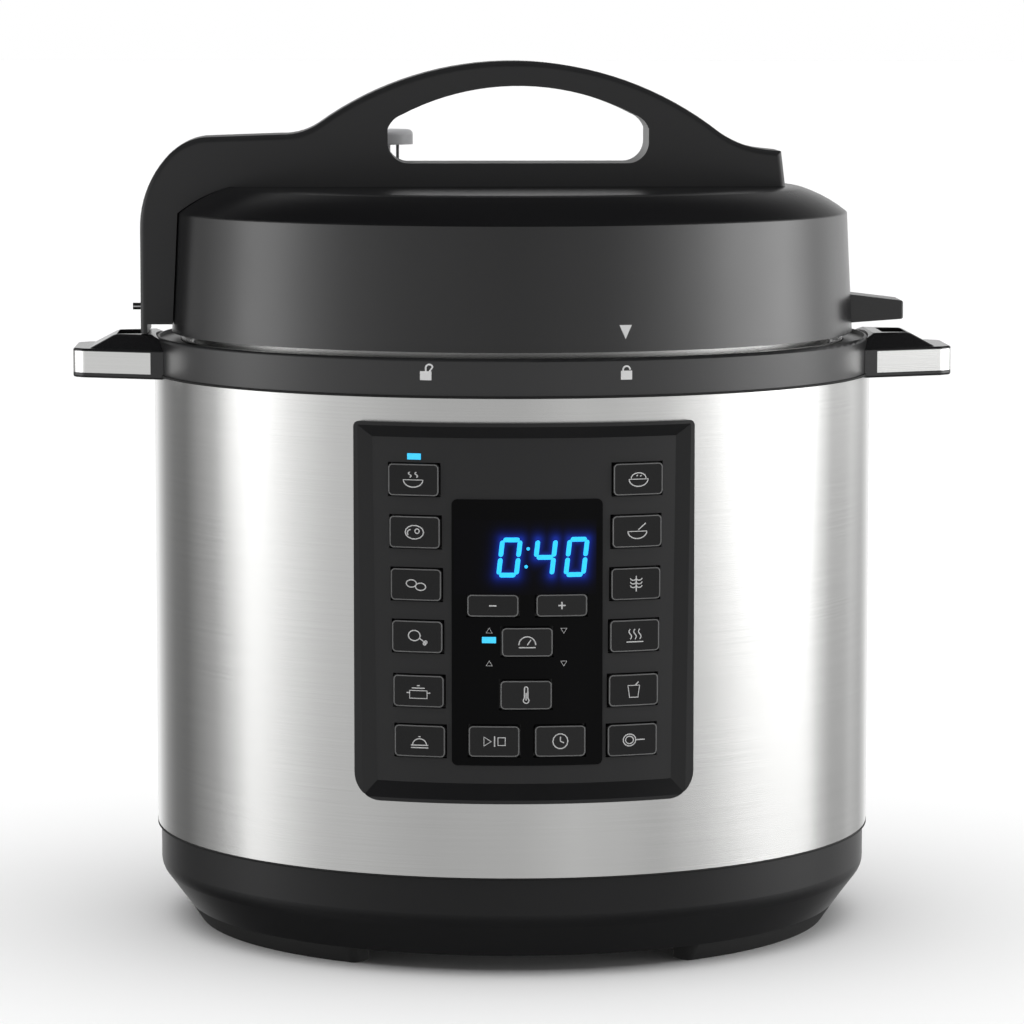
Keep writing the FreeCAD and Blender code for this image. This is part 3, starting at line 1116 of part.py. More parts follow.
shield_low = steel_under - s.shield_height
shield_solid = cylinder("shield_solid", s.valve_x, s.valve_y, shield_low, s.shield_radius, s.shield_height)
shield_room = cylinder("shield_room", s.valve_x, s.valve_y, shield_low + s.shield_wall,
                       s.shield_radius - s.shield_wall, s.shield_height)
shield_slots = []
for n in range(int(float(s.shield_slots))):
    slit = box("slit", 0, -1, shield_low + 2.5, s.shield_radius + 2, 2, s.shield_height - 5)
    spin(slit, 360 / float(s.shield_slots) * n)
    slit.Placement.Base = slit.Placement.Base + FreeCAD.Vector(float(s.valve_x), float(s.valve_y), 0)
    shield_slots.append(slit)
piece(cut("shield_cut", shield_solid, shield_room, *shield_slots), "valve_shield")

float_stem = cylinder("float_stem", s.float_x, s.float_y, s.float_bottom, s.float_radius,
                      s.float_seat - s.float_bottom + 1)
float_top = cylinder("float_top", s.float_x, s.float_y, s.float_seat, s.float_head, s.float_head_height)
piece(fused("float_fused", float_stem, float_top), "float_valve")
gasket_low = steel_under - s.gasket_drop - s.gasket_height
gasket_disc = cylinder("gasket_disc", s.float_x, s.float_y, gasket_low, s.gasket_radius, s.gasket_height)
gasket_bore = cylinder("gasket_bore", s.float_x, s.float_y, gasket_low - 1, s.float_radius, s.gasket_height + 2)
piece(cut("gasket_cut", gasket_disc, gasket_bore), "float_gasket")

# ---------------------------------------------------------------------------------------------
# Checks and export
# ---------------------------------------------------------------------------------------------
doc.recompute()
failed = [thing.Name for thing in doc.Objects if "Invalid" in thing.State or "Error" in thing.State]
failed += [finished.Label for finished in pieces if finished.Shape.isNull() or not finished.Shape.isValid()]
if failed:
    raise RuntimeError("these did not compute: " + ", ".join(failed))
os.makedirs("parts", exist_ok=True)
for finished in pieces:
    finished.Shape.exportStep("parts/%s.step" % finished.Label)
    print(finished.Label, len(finished.Shape.Solids), round(finished.Shape.Volume))
print(len(pieces), "pieces")
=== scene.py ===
import math

import bpy
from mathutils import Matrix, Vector


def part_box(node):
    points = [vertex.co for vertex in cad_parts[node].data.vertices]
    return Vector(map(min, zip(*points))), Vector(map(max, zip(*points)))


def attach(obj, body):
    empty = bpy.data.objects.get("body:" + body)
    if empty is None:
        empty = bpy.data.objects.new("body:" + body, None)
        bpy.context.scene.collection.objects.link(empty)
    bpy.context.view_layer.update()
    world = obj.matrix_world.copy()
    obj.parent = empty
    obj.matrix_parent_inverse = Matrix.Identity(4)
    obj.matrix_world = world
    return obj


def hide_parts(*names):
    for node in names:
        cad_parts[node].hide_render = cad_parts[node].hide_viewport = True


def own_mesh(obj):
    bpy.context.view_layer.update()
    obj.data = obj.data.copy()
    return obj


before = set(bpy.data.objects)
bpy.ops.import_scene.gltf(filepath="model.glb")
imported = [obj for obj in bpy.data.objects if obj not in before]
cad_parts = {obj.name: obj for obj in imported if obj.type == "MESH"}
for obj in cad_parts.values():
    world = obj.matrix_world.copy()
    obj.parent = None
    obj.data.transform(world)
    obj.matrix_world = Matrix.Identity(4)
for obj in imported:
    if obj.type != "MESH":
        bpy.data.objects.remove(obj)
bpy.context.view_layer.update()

# ---------------------------------------------------------------------------------------------
# Housing and bottom cover
# The base is injection-moulded black polypropylene with a fine spark-eroded grain. It stands
# under the steel shell, and its slanted skirt runs down to the feet.
# ---------------------------------------------------------------------------------------------


def new_node(material, kind, inputs=None, **settings):
    """Adds a node; an input is given a number, a colour, or another node's socket to link."""
    made = material.node_tree.nodes.new("ShaderNode" + kind)
    for name, value in settings.items():
        setattr(made, name, value)
    for name, value in (inputs or {}).items():
        if isinstance(value, bpy.types.NodeSocket):
            material.node_tree.links.new(value, made.inputs[name])
        else:
            made.inputs[name].default_value = value
    return made


def start_material(name, roughness, metal=0.0, specular=0.5):
    """An empty material with its shader, and the piece's own coordinates in metres."""
    material = bpy.data.materials.new(name)
    material.use_nodes = True
    shader = material.node_tree.nodes["Principled BSDF"]
    shader.inputs["Roughness"].default_value = roughness
    shader.inputs["Metallic"].default_value = metal
    shader.inputs["Specular IOR Level"].default_value = specular
    place = new_node(material, "TexCoord").outputs["Object"]
    return material, shader, place


def vary_colour(material, shader, factor, dark, light):
    """Base colour that drifts between two tones with a noise's value."""
    mixed = {"Factor": factor, "A": (*dark, 1), "B": (*light, 1)}
    mix = new_node(material, "Mix", mixed, data_type="RGBA")
    material.node_tree.links.new(mix.outputs["Result"], shader.inputs["Base Color"])
    return mix


def vary_roughness(material, shader, factor, low, high):
    """Roughness that follows a noise's value."""
    spread = new_node(material, "MapRange", {"Value": factor, "To Min": low, "To Max": high})
    material.node_tree.links.new(spread.outputs["Result"], shader.inputs["Roughness"])


def add_bump(material, shader, height, distance, strength=1.0):
    """Fine relief, distance metres deep where the height is 1."""
    inputs = {"Height": height, "Distance": distance, "Strength": strength}
    bump = new_node(material, "Bump", inputs)
    material.node_tree.links.new(bump.outputs["Normal"], shader.inputs["Normal"])


def moulded_plastic(name, tone, roughness, grain=0.0006, depth=0.00002, specular=0.5, drift=0.12):
    """Moulded plastic: an even tone with a faint drift, a fine grain and slightly uneven gloss."""
    gloss_drift = 0.12
    material, shader, place = start_material(name, roughness, specular=specular)
    cloud = new_node(material, "TexNoise", {"Vector": place, "Scale": 28.0, "Detail": 4.0})
    skin = new_node(material, "TexNoise", {"Vector": place, "Scale": 1 / grain, "Detail": 2.0})
    dark = [channel * (1 - drift) for channel in tone]
    light = [channel * (1 + drift) for channel in tone]
    vary_colour(material, shader, cloud.outputs["Fac"], dark, light)
    low, high = roughness * (1 - gloss_drift), roughness * (1 + gloss_drift)
    vary_roughness(material, shader, cloud.outputs["Fac"], low, high)
    add_bump(material, shader, skin.outputs["Fac"], depth)
    return material


def paint(material, *nodes):
    """Gives CAD pieces their finish."""
    for name in nodes:
        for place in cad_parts[name].material_slots:
            place.material = material


paint(moulded_plastic("housing_black", (0.007, 0.007, 0.0075), 0.34, specular=0.3), "base_housing")
cover_black = moulded_plastic("cover_black", (0.010, 0.010, 0.011), 0.55, 0.0011, 0.00006)
paint(cover_black, "bottom_cover")

# ---------------------------------------------------------------------------------------------
# Feet
# Four arcs of soft black rubber, pressed into the rim of the base. The rubber is matt, with a
# coarse grain and a trace of worktop dust.
# ---------------------------------------------------------------------------------------------
foot_rubber = moulded_plastic("foot_rubber", (0.018, 0.018, 0.018), 0.75, 0.0009, 0.00008, 0.3, 0.3)
paint(foot_rubber, "feet")

# ---------------------------------------------------------------------------------------------
# Outer shell
# One strip of stainless steel, 0.7 mm thick, rolled to a cylinder and brushed along its length,
# so that the fine scratches run round the body. It is clamped between the housing and the collar.
# ---------------------------------------------------------------------------------------------


def brushed_metal(
    name, tone, roughness, line=0.00025, length=0.05, depth=0.000006, turned=False, spread=0.5,
    unevenness=1.0
):
    """Brushed metal. The scratches run round the vertical axis; on a turned piece, rings too.
    spread is how far they stretch a reflection at right angles to themselves."""
    rim_pitch, scratch_shade = 1.7, 0.86
    material, shader, place = start_material(name, roughness, metal=1.0)
    parts = new_node(material, "SeparateXYZ", {"Vector": place})
    across = parts.outputs["Z"]
    if turned:
        flat = new_node(material, "CombineXYZ", {"X": parts.outputs["X"], "Y": parts.outputs["Y"]})
        radius = new_node(material, "VectorMath", {0: flat.outputs["Vector"]}, operation="LENGTH")
        steep = new_node(material, "Math", {0: across, 1: rim_pitch}, operation="MULTIPLY")
        terms = {0: radius.outputs["Value"], 1: steep.outputs["Value"]}
        across = new_node(material, "Math", terms, operation="ADD").outputs["Value"]
    squeezed = new_node(
        material, "CombineXYZ", {"X": parts.outputs["X"], "Y": parts.outputs["Y"], "Z": across}
    )
    stretch = new_node(material, "Mapping", {"Vector": squeezed.outputs["Vector"]})
    stretch.inputs["Scale"].default_value = (1 / length, 1 / length, 1 / line)
    scratch = new_node(
        material, "TexNoise", {"Vector": stretch.outputs["Vector"], "Scale": 1.0, "Detail": 3.0}
    )
    cloud = new_node(material, "TexNoise", {"Vector": place, "Scale": 14.0, "Detail": 3.0})
    both = new_node(
        material, "Math", {0: scratch.outputs["Fac"], 1: cloud.outputs["Fac"]}, operation="MULTIPLY"
    )
    dark = [channel * scratch_shade for channel in tone]
    vary_colour(material, shader, scratch.outputs["Fac"], dark, tone)
    low, high = roughness * (1 - 0.25 * unevenness), roughness * (1 + 0.6 * unevenness)
    vary_roughness(material, shader, both.outputs["Value"], low, high)
    add_bump(material, shader, scratch.outputs["Fac"], depth)
    shader.inputs["Anisotropic"].default_value = spread
    shader.inputs["Anisotropic Rotation"].default_value = 0.25
    return material


shell_steel = brushed_metal("shell_steel", (0.70, 0.70, 0.69), 0.20, spread=0.9, unevenness=0.5)
paint(shell_steel, "outer_shell")

# ---------------------------------------------------------------------------------------------
# Dark lines at the rims of the shell
# Thin black rings lie on the two rims of the steel, where it meets the collar and the
# housing, and draw a thin dark line at each joint. Each is one closed ring, made by sweeping its
# section round the body.
# ---------------------------------------------------------------------------------------------


def new_tree(name, sizes):
    """A geometry tree with a geometry input, the named sizes as inputs, and one output."""
    tree = bpy.data.node_groups.new(name, "GeometryNodeTree")
    tree.interface.new_socket("Geometry", in_out="INPUT", socket_type="NodeSocketGeometry")
    for label, value in sizes.items():
        kind = "NodeSocketInt" if isinstance(value, int) else "NodeSocketFloat"
        tree.interface.new_socket(label, in_out="INPUT", socket_type=kind)
    tree.interface.new_socket("Finish", in_out="INPUT", socket_type="NodeSocketMaterial")
    tree.interface.new_socket("Geometry", in_out="OUTPUT", socket_type="NodeSocketGeometry")
    return tree, tree.nodes.new("NodeGroupInput").outputs, tree.nodes.new("NodeGroupOutput")


def tree_node(tree, kind, inputs=None, **settings):
    """Adds a geometry node; an input, by name or number, takes a value or a socket."""
    made = tree.nodes.new(kind)
    for name, value in settings.items():
        setattr(made, name, value)
    for name, value in (inputs or {}).items():
        if isinstance(value, bpy.types.NodeSocket):
            tree.links.new(value, made.inputs[name])
        else:
            made.inputs[name].default_value = value
    return made


def cube(tree, given, across, deep, high, **more):
    """A block whose sides are three of the tree's inputs."""
    sides = {"X": given[across], "Y": given[deep], "Z": given[high]}
    size = tree_node(tree, "ShaderNodeCombineXYZ", sides)
    inputs = {"Size": size.outputs["Vector"], **more}
    return tree_node(tree, "GeometryNodeMeshCube", inputs).outputs["Mesh"]


def swept(tree, path, section, caps=False):
    """A section swept along a path."""
    inputs = {"Curve": path, "Profile Curve": section, "Fill Caps": caps}
    return tree_node(tree, "GeometryNodeCurveToMesh", inputs).outputs["Mesh"]


def close_tree(tree, given, out, shape, points=None, **more):
    """Ends a tree: the shape set out on points, made real, and given its finish."""
    spots = given["Geometry"] if points is None else points
    set_out = tree_node(
        tree, "GeometryNodeInstanceOnPoints", {"Points": spots, "Instance": shape, **more}
    )
    instances = set_out.outputs["Instances"]
    real = tree_node(tree, "GeometryNodeRealizeInstances", {"Geometry": instances})
    coat = tree_node(
        tree,
        "GeometryNodeSetMaterial",
        {"Geometry": real.outputs["Geometry"], "Material": given["Finish"]},
    )
    tree.links.new(coat.outputs["Geometry"], out.inputs["Geometry"])


def add_object(name, data):
    """A new object of the scene."""
    made = bpy.data.objects.new(name, data)
    bpy.context.scene.collection.objects.link(made)
    return made


def run_tree(tree, name, finish, sizes, points=()):
    """Runs a tree on some points, and returns its result as a plain object."""
    seed = bpy.data.meshes.new(name)
    seed.from_pydata([tuple(point) for point in points], [], [])
    worker = add_object(name + "_worker", seed)
    modifier = worker.modifiers.new("tree", "NODES")
    modifier.node_group = tree
    for socket in tree.interface.items_tree:
        if socket.in_out == "INPUT" and socket.name in sizes:
            modifier[socket.identifier] = sizes[socket.name]
        if socket.in_out == "INPUT" and socket.name == "Finish":
            modifier[socket.identifier] = finish
    evaluated = worker.evaluated_get(bpy.context.evaluated_depsgraph_get())
    mesh = bpy.data.meshes.new_from_object(evaluated)
    mesh.name = name
    bpy.data.objects.remove(worker)
    piece = add_object(name, mesh)
    if not mesh.materials:
        mesh.materials.append(finish)
    return piece


shell_low, shell_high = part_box("outer_shell")
RIM_LINE_INSET = 0.0002
ring_sizes = {"Radius": shell_high.x - RIM_LINE_INSET, "Width": 0.0006, "Height": 0.0008, "Steps": 360}
ring_tree, given, out = new_tree("rim_line", ring_sizes)
path = tree_node(
    ring_tree,
    "GeometryNodeCurvePrimitiveCircle",
    {"Resolution": given["Steps"], "Radius": given["Radius"]},
)
section = tree_node(
    ring_tree,
    "GeometryNodeCurvePrimitiveQuadrilateral",
    {"Width": given["Width"], "Height": given["Height"]},
)
close_tree(ring_tree, given, out, swept(ring_tree, path.outputs["Curve"], section.outputs["Curve"]))

# A thin black ring at each rim of the steel draws the dark line along the joint.
rim_line_black = moulded_plastic("rim_line_black", (0.006, 0.006, 0.006), 0.6)
rims = [(0, 0, shell_high.z), (0, 0, shell_low.z)]
rim_lines = run_tree(ring_tree, "shell_rim_lines", rim_line_black, ring_sizes, rims)
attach(rim_lines, "base")

# ---------------------------------------------------------------------------------------------
# Screws of the bottom cover
# Four pan-head steel screws with a cross recess hold the cover to the housing's bosses. The
# recess is cut from the head before the heads are set out on their circle.
# ---------------------------------------------------------------------------------------------
screw_low, screw_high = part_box("bottom_screws")
cover_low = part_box("bottom_cover")[0]
HEAD_RADIUS = 0.0032
HEAD_TAPER = 0.72
screw_sizes = {
    "Count": 4,
    "Circle Radius": (screw_high.x - HEAD_RADIUS) * 2 ** 0.5,
    "Head Radius": HEAD_RADIUS,
    "Head Height": cover_low.z - screw_low.z,
    "Recess Length": 0.0036,
    "Recess Width": 0.0008,
}
screw_tree, given, out = new_tree("cover_screws", screw_sizes)
crown = tree_node(
    screw_tree, "ShaderNodeMath", {0: given["Head Radius"], 1: HEAD_TAPER}, operation="MULTIPLY"
)
head = tree_node(
    screw_tree,
    "GeometryNodeMeshCone",
    {
        "Vertices": 40,
        "Radius Top": given["Head Radius"],
        "Radius Bottom": crown.outputs["Value"],
        "Depth": given["Head Height"],
    },
)
cutters = [
    cube(screw_tree, given, "Recess Length", "Recess Width", "Head Height"),
    cube(screw_tree, given, "Recess Width", "Recess Length", "Head Height"),
]
recessed = head.outputs["Mesh"]
for cutter in cutters:
    cut = tree_node(
        screw_tree, "GeometryNodeMeshBoolean", {"Mesh 1": recessed}, operation="DIFFERENCE"
    )
    screw_tree.links.new(cutter, cut.inputs["Mesh 2"])
    recessed = cut.outputs["Mesh"]
circle = tree_node(
    screw_tree,
    "GeometryNodeMeshCircle",
    {"Vertices": given["Count"], "Radius": given["Circle Radius"]},
)
turned_circle = tree_node(
    screw_tree,
    "GeometryNodeTransform",
    {"Geometry": circle.outputs["Mesh"], "Rotation": (0, 0, math.radians(45))},
)
close_tree(screw_tree, given, out, recessed, turned_circle.outputs["Geometry"])

screw_steel = brushed_metal("screw_steel", (0.55, 0.55, 0.56), 0.32, line=0.0001, turned=True)
paint(screw_steel, "bottom_screws", "handle_screws", "lid_screws")
cover_screws = run_tree(screw_tree, "cover_screws", screw_steel, screw_sizes)
for vertex in cover_screws.data.vertices:
    vertex.co.z += screw_low.z
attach(cover_screws, "base")
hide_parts("bottom_screws")

# ---------------------------------------------------------------------------------------------
# Collar, bayonet ring and liner
# The black collar closes the shell at the top and carries the steel bayonet ring, whose six lugs
# hold the lid. The bare aluminium liner hangs inside and takes the pot.
# ---------------------------------------------------------------------------------------------
paint(moulded_plastic("collar_black", (0.011, 0.011, 0.0115), 0.30, specular=0.65), "collar_ring")
paint(brushed_metal("ring_steel", (0.60, 0.60, 0.59), 0.24, turned=True), "bayonet_ring")
paint(brushed_metal("liner_aluminium", (0.52, 0.52, 0.51), 0.45, line=0.0006, turned=True), "liner")

# ---------------------------------------------------------------------------------------------
# Heating plate, its element and the sensor
# The plate is cast aluminium, machined flat on top, with a tubular steel element cast into it.
# The spring-loaded aluminium cap in the middle reads the pot's temperature.
# ---------------------------------------------------------------------------------------------


def cast_metal(name, tone, roughness):
    """Sand-grained casting: dull, with pits and a slow drift of tone."""
    material, shader, place = start_material(name, roughness, metal=1.0)
    pits = new_node(material, "TexNoise", {"Vector": place, "Scale": 900.0, "Detail": 6.0})
    cloud = new_node(material, "TexNoise", {"Vector": place, "Scale": 30.0, "Detail": 3.0})
    pit_depth, pit_shade = 0.0001, 0.75
    dark = [channel * pit_shade for channel in tone]
    vary_colour(material, shader, cloud.outputs["Fac"], dark, tone)
    vary_roughness(material, shader, pits.outputs["Fac"], roughness * 0.8, roughness * 1.3)
    add_bump(material, shader, pits.outputs["Fac"], pit_depth, 0.6)
    return material


paint(cast_metal("plate_aluminium", (0.50, 0.50, 0.49), 0.42), "heating_plate")
paint(cast_metal("element_steel", (0.30, 0.29, 0.28), 0.5), "heating_element")
sensor_aluminium = brushed_metal("sensor_aluminium", (0.70, 0.70, 0.69), 0.25, 0.0002, turned=True)
paint(sensor_aluminium, "sensor_cap", "sensor_spring")

# ---------------------------------------------------------------------------------------------
# Sensor spring
# One coil of drawn steel wire under the cap, with four open turns. Its foot stays on the base.
# ---------------------------------------------------------------------------------------------
coil_low, coil_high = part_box("sensor_spring")
WIRE_RADIUS = 0.0008
coil_height = coil_high.z - coil_low.z
coil_sizes = {
    "Turns": 4.0,
    "Coil Radius": coil_high.x - WIRE_RADIUS,
    "Wire Radius": WIRE_RADIUS,
    "Rise": coil_height - WIRE_RADIUS * 2,
    "Steps": 40,
}
coil_tree, given, out = new_tree("sensor_coil", coil_sizes)
coil_path = tree_node(
    coil_tree,
    "GeometryNodeCurveSpiral",
    {
        "Resolution": given["Steps"],
        "Rotations": given["Turns"],
        "Start Radius": given["Coil Radius"],
        "End Radius": given["Coil Radius"],
        "Height": given["Rise"],
    },
)
wire_section = tree_node(
    coil_tree,
    "GeometryNodeCurvePrimitiveCircle",
    {"Resolution": 12, "Radius": given["Wire Radius"]},
)
wire = swept(coil_tree, coil_path.outputs["Curve"], wire_section.outputs["Curve"], caps=True)
close_tree(coil_tree, given, out, wire)
coil_steel = brushed_metal("coil_steel", (0.58, 0.58, 0.58), 0.28, line=0.0001)
sensor_coil = run_tree(
    coil_tree, "sensor_coil", coil_steel, coil_sizes, [(0, 0, coil_low.z + WIRE_RADIUS)]
)
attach(sensor_coil, "base")
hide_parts("sensor_spring")
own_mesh(sensor_coil)

# ---------------------------------------------------------------------------------------------
# Electrics inside the base
# Green fibreglass boards with copper tracks, black moulded switches, and a white ceramic sleeve
# round the thermal fuse. They are only seen when the cooker is taken apart.
# ---------------------------------------------------------------------------------------------


def track_board(name):
    """Solder-masked board: a lighter green where the copper runs under the lacquer."""
    material, shader, place = start_material(name, 0.35)
    tracks = new_node(
        material, "TexBrick", {"Vector": place, "Scale": 160.0, "Mortar Size": 0.06, "Bias": -0.2}
    )
    grime = new_node(material, "TexNoise", {"Vector": place, "Scale": 240.0, "Detail": 3.0})
    vary_colour(material, shader, tracks.outputs["Fac"], (0.006, 0.05, 0.02), (0.02, 0.12, 0.05))
    vary_roughness(material, shader, grime.outputs["Fac"], 0.25, 0.5)
    add_bump(material, shader, tracks.outputs["Fac"], 0.00004)
    return material


paint(track_board("circuit_board"), "power_board", "control_board")
part_black = moulded_plastic("part_black", (0.02, 0.02, 0.022), 0.45)
paint(part_black, "pressure_switch", "tactile_switches", "display_module")
fuse_white = moulded_plastic("ceramic_white", (0.72, 0.70, 0.66), 0.5, 0.0004, 0.00003, drift=0.05)
paint(fuse_white, "thermal_fuse")

# ---------------------------------------------------------------------------------------------
# Inner pot
# Drawn stainless steel with a rolled rim, spun and brushed inside. Level lines are etched on the
# inner wall, with a longer line at each full step of the scale.
# ---------------------------------------------------------------------------------------------
pot_steel = brushed_metal("pot_steel", (0.68, 0.68, 0.67), 0.22, line=0.0004, turned=True)
paint(pot_steel, "inner_pot")

LEVEL_START = 0.045
POT_BORE = 0.1110
LONG_LINE = 1.6
SHORT_LINE = 0.8
pot_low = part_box("inner_pot")[0]
level_sizes = {
    "Steps": 9,
    "Step Height": 0.0135,
    "Line Length": 0.012,
    "Line Width": 0.0005,
    "Line Depth": 0.00008,
}
level_tree, given, out = new_tree("level_lines", level_sizes)
index = tree_node(level_tree, "GeometryNodeInputIndex")
half_step = tree_node(
    level_tree, "ShaderNodeMath", {0: index.outputs["Index"], 1: 2.0}, operation="MODULO"
)
stretch = tree_node(
    level_tree,
    "ShaderNodeMapRange",
    {"Value": half_step.outputs["Value"], "To Min": LONG_LINE, "To Max": SHORT_LINE},
)
widen = tree_node(
    level_tree, "ShaderNodeCombineXYZ", {"X": stretch.outputs["Result"], "Y": 1.0, "Z": 1.0}
)
rise = tree_node(level_tree, "ShaderNodeCombineXYZ", {"Z": given["Step Height"]})
ladder = tree_node(
    level_tree,
    "GeometryNodeMeshLine",
    {"Count": given["Steps"], "Offset": rise.outputs["Vector"]},
)
bar = cube(level_tree, given, "Line Length", "Line Depth", "Line Width", **{"Vertices X": 12})
close_tree(level_tree, given, out, bar, ladder.outputs["Mesh"], Scale=widen.outputs["Vector"])


def wrap_round(mesh, radius, centre_angle=0.0, rise=0.0, inside=False):
    """Bends a flat mesh, drawn in X and Z with -Y outwards, round the vertical axis. Front is 0."""
    for vertex in mesh.vertices:
        across, depth, height = vertex.co
        turn = centre_angle + (-across if inside else across) / radius
        reach = radius + depth if inside else radius - depth
        vertex.co = (reach * math.sin(turn), -reach * math.cos(turn), height + rise)
    mesh.update()


etched_grey = moulded_plastic("etched_grey", (0.20, 0.20, 0.20), 0.6)
level_lines = run_tree(level_tree, "pot_level_lines", etched_grey, level_sizes)
wrap_round(level_lines.data, POT_BORE, math.pi, pot_low.z + LEVEL_START, inside=True)
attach(level_lines, "pot")

# ---------------------------------------------------------------------------------------------
# Control panel: bezel and fascia
# A satin black bezel is clipped into the shell's cut-out and frames the fascia, a thin curved
# moulding that carries the two columns of buttons.
# ---------------------------------------------------------------------------------------------
paint(moulded_plastic("bezel_black", (0.007, 0.007, 0.0075), 0.30, specular=0.4), "panel_bezel")
fascia_black = moulded_plastic("fascia_black", (0.017, 0.017, 0.0175), 0.44, 0.0004, specular=0.35)
paint(fascia_black, "panel_fascia")

# ---------------------------------------------------------------------------------------------
# Display window, digits and their glow
# The window is one piece of smoked gloss plastic. Behind it sits a blue display that shows a
# time; its seven-bar digits lean a little, and the light spreads faintly in the plastic.
# ---------------------------------------------------------------------------------------------
window_radius = -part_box("display_window")[0].y
window_tone = (0.0012, 0.0012, 0.0014)
window_gloss = moulded_plastic("window_gloss", window_tone, 0.12, 0.004, 0.000004, 0.06)
paint(window_gloss, "display_window")

DIGIT_HEIGHT = 0.0143
DIGIT_WIDTH = 0.0080
BAR_WIDTH = 0.0017
BAR_GAP = 0.0002
LEAN = 0.115
DIGIT_RISE = 0.1529
DIGITS = {-0.0057: "abcdef", 0.0069: "bcfg", 0.0183: "abcdef"}
COLON_PLACE = 0.0006
COLON_RISES = (0.0031, -0.0033)
COLON_RADIUS = 0.00062
DIGIT_THICKNESS = 0.00006
DIGIT_LIFT = 0.00004
half_height = DIGIT_HEIGHT / 2 - BAR_WIDTH / 2
half_width = DIGIT_WIDTH / 2 - BAR_WIDTH / 2
BARS = {
    "a": ((-half_width, half_height), (half_width, half_height)),
    "b": ((half_width, half_height), (half_width, 0)),
    "c": ((half_width, 0), (half_width, -half_height)),
    "d": ((-half_width, -half_height), (half_width, -half_height)),
    "e": ((-half_width, 0), (-half_width, -half_height)),
    "f": ((-half_width, half_height), (-half_width, 0)),
    "g": ((-half_width, 0), (half_width, 0)),
}


def bar_outline(start, end):
    """A bar with round ends, from one corner of the digit to the next."""
    start, end = Vector(start), Vector(end)
    along = (end - start).normalized()
    heading = math.atan2(along.y, along.x)
    inset = along * (BAR_WIDTH / 2 + BAR_GAP)
    points = []
    for centre, turn in ((end - inset, -90), (start + inset, 90)):
        for step in range(0, 181, 30):
            angle = heading + math.radians(turn + step)
            points.append(centre + Vector((math.cos(angle), math.sin(angle))) * BAR_WIDTH / 2)
    return points


def leaning(point, centre):
    """A digit's point moved to the digit's place, and over to the side in step with its height."""
    return Vector((centre + point.x + point.y * LEAN, point.y))


def flat_piece(name, outlines, material, thickness):
    """Thin plates, drawn in X and Z, with their front face towards -Y."""
    vertices, faces = [], []
    for outline in outlines:
        count = len(outline)
        first = len(vertices)
        vertices += [(point[0], -thickness, point[1]) for point in outline]
        vertices += [(point[0], 0.0, point[1]) for point in outline]
        area = sum(
            start[0] * end[1] - end[0] * start[1]
            for start, end in zip(outline, [*outline[1:], outline[0]])
        )
        ring = list(range(count)) if area > 0 else list(range(count))[::-1]
        faces.append([first + i for i in ring])
        faces.append([first + count + i for i in ring[::-1]])
        for i in range(count):
            a, b = ring[i], ring[(i + 1) % count]
            faces.append([first + b, first + a, first + count + a, first + count + b])
    mesh = bpy.data.meshes.new(name)
    mesh.from_pydata(vertices, [], faces)
    mesh.materials.append(material)
    return add_object(name, mesh)


def lit(name, colour, strength):
    """Lit plastic: its glow drifts a little in tone, following a fine noise."""
    rim_shade = 0.85
    material, shader, place = start_material(name, 0.35)
    cloud = new_node(material, "TexNoise", {"Vector": place, "Scale": 900.0, "Detail": 1.0})
    dark = [channel * rim_shade for channel in colour]
    mix = vary_colour(material, shader, cloud.outputs["Fac"], dark, colour)
    material.node_tree.links.new(mix.outputs["Result"], shader.inputs["Emission Color"])
    shader.inputs["Emission Strength"].default_value = strength
    return material


def round_dot(centre, radius, steps=16):
    """A round outline."""
    return [
        Vector((centre[0] + radius * math.cos(2 * math.pi * i / steps),
                centre[1] + radius * math.sin(2 * math.pi * i / steps)))
        for i in range(steps)
    ]


digit_blue = lit("digit_blue", (0.012, 0.42, 0.86), 1.0)
lit_bars = [
    [leaning(point, centre) for point in bar_outline(*BARS[bar])]
    for centre, bars in DIGITS.items()
    for bar in bars
]
colon_dots = [round_dot((COLON_PLACE + rise * LEAN, rise), COLON_RADIUS) for rise in COLON_RISES]
digits = flat_piece("display_digits", lit_bars + colon_dots, digit_blue, DIGIT_THICKNESS)
wrap_round(digits.data, window_radius + DIGIT_LIFT, 0.0, DIGIT_RISE)
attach(digits, "base")

GLOW_HALF_WIDTH = 0.0255
GLOW_HALF_HEIGHT = 0.0135
GLOW_CELL = 0.0004
GLOW_REACH = 0.0011
GLOW_LIFT = 0.00003
segments = [
    (leaning(Vector(start), centre), leaning(Vector(end), centre))
    for centre, bars in DIGITS.items()
    for start, end in (BARS[bar] for bar in bars)
]


def nearest_light(point):
    """Distance from a point of the window to the nearest lit bar."""
    nearest = 1.0
    for start, end in segments:
        along = end - start
        share = max(0.0, min(1.0, (point - start).dot(along) / along.length_squared))
        nearest = min(nearest, (point - start - along * share).length)
    return max(0.0, nearest - BAR_WIDTH / 2)


columns = int(2 * GLOW_HALF_WIDTH / GLOW_CELL)
rows = int(2 * GLOW_HALF_HEIGHT / GLOW_CELL)
glow_points = [
    Vector((-GLOW_HALF_WIDTH + 2 * GLOW_HALF_WIDTH * i / columns,
            -GLOW_HALF_HEIGHT + 2 * GLOW_HALF_HEIGHT * j / rows))
    for j in range(rows + 1)
    for i in range(columns + 1)
]
glow_faces = [
    (j * (columns + 1) + i, j * (columns + 1) + i + 1,
     (j + 1) * (columns + 1) + i + 1, (j + 1) * (columns + 1) + i)
    for j in range(rows)
    for i in range(columns)
]
glow_mesh = bpy.data.meshes.new("display_glow")
glow_mesh.from_pydata([(point.x, 0.0, point.y) for point in glow_points], [], glow_faces)
glow = glow_mesh.attributes.new("glow", "FLOAT", "POINT")
for i, point in enumerate(glow_points):
    glow.data[i].value = math.exp(-nearest_light(point) / GLOW_REACH)
for polygon in glow_mesh.polygons:
    polygon.use_smooth = True

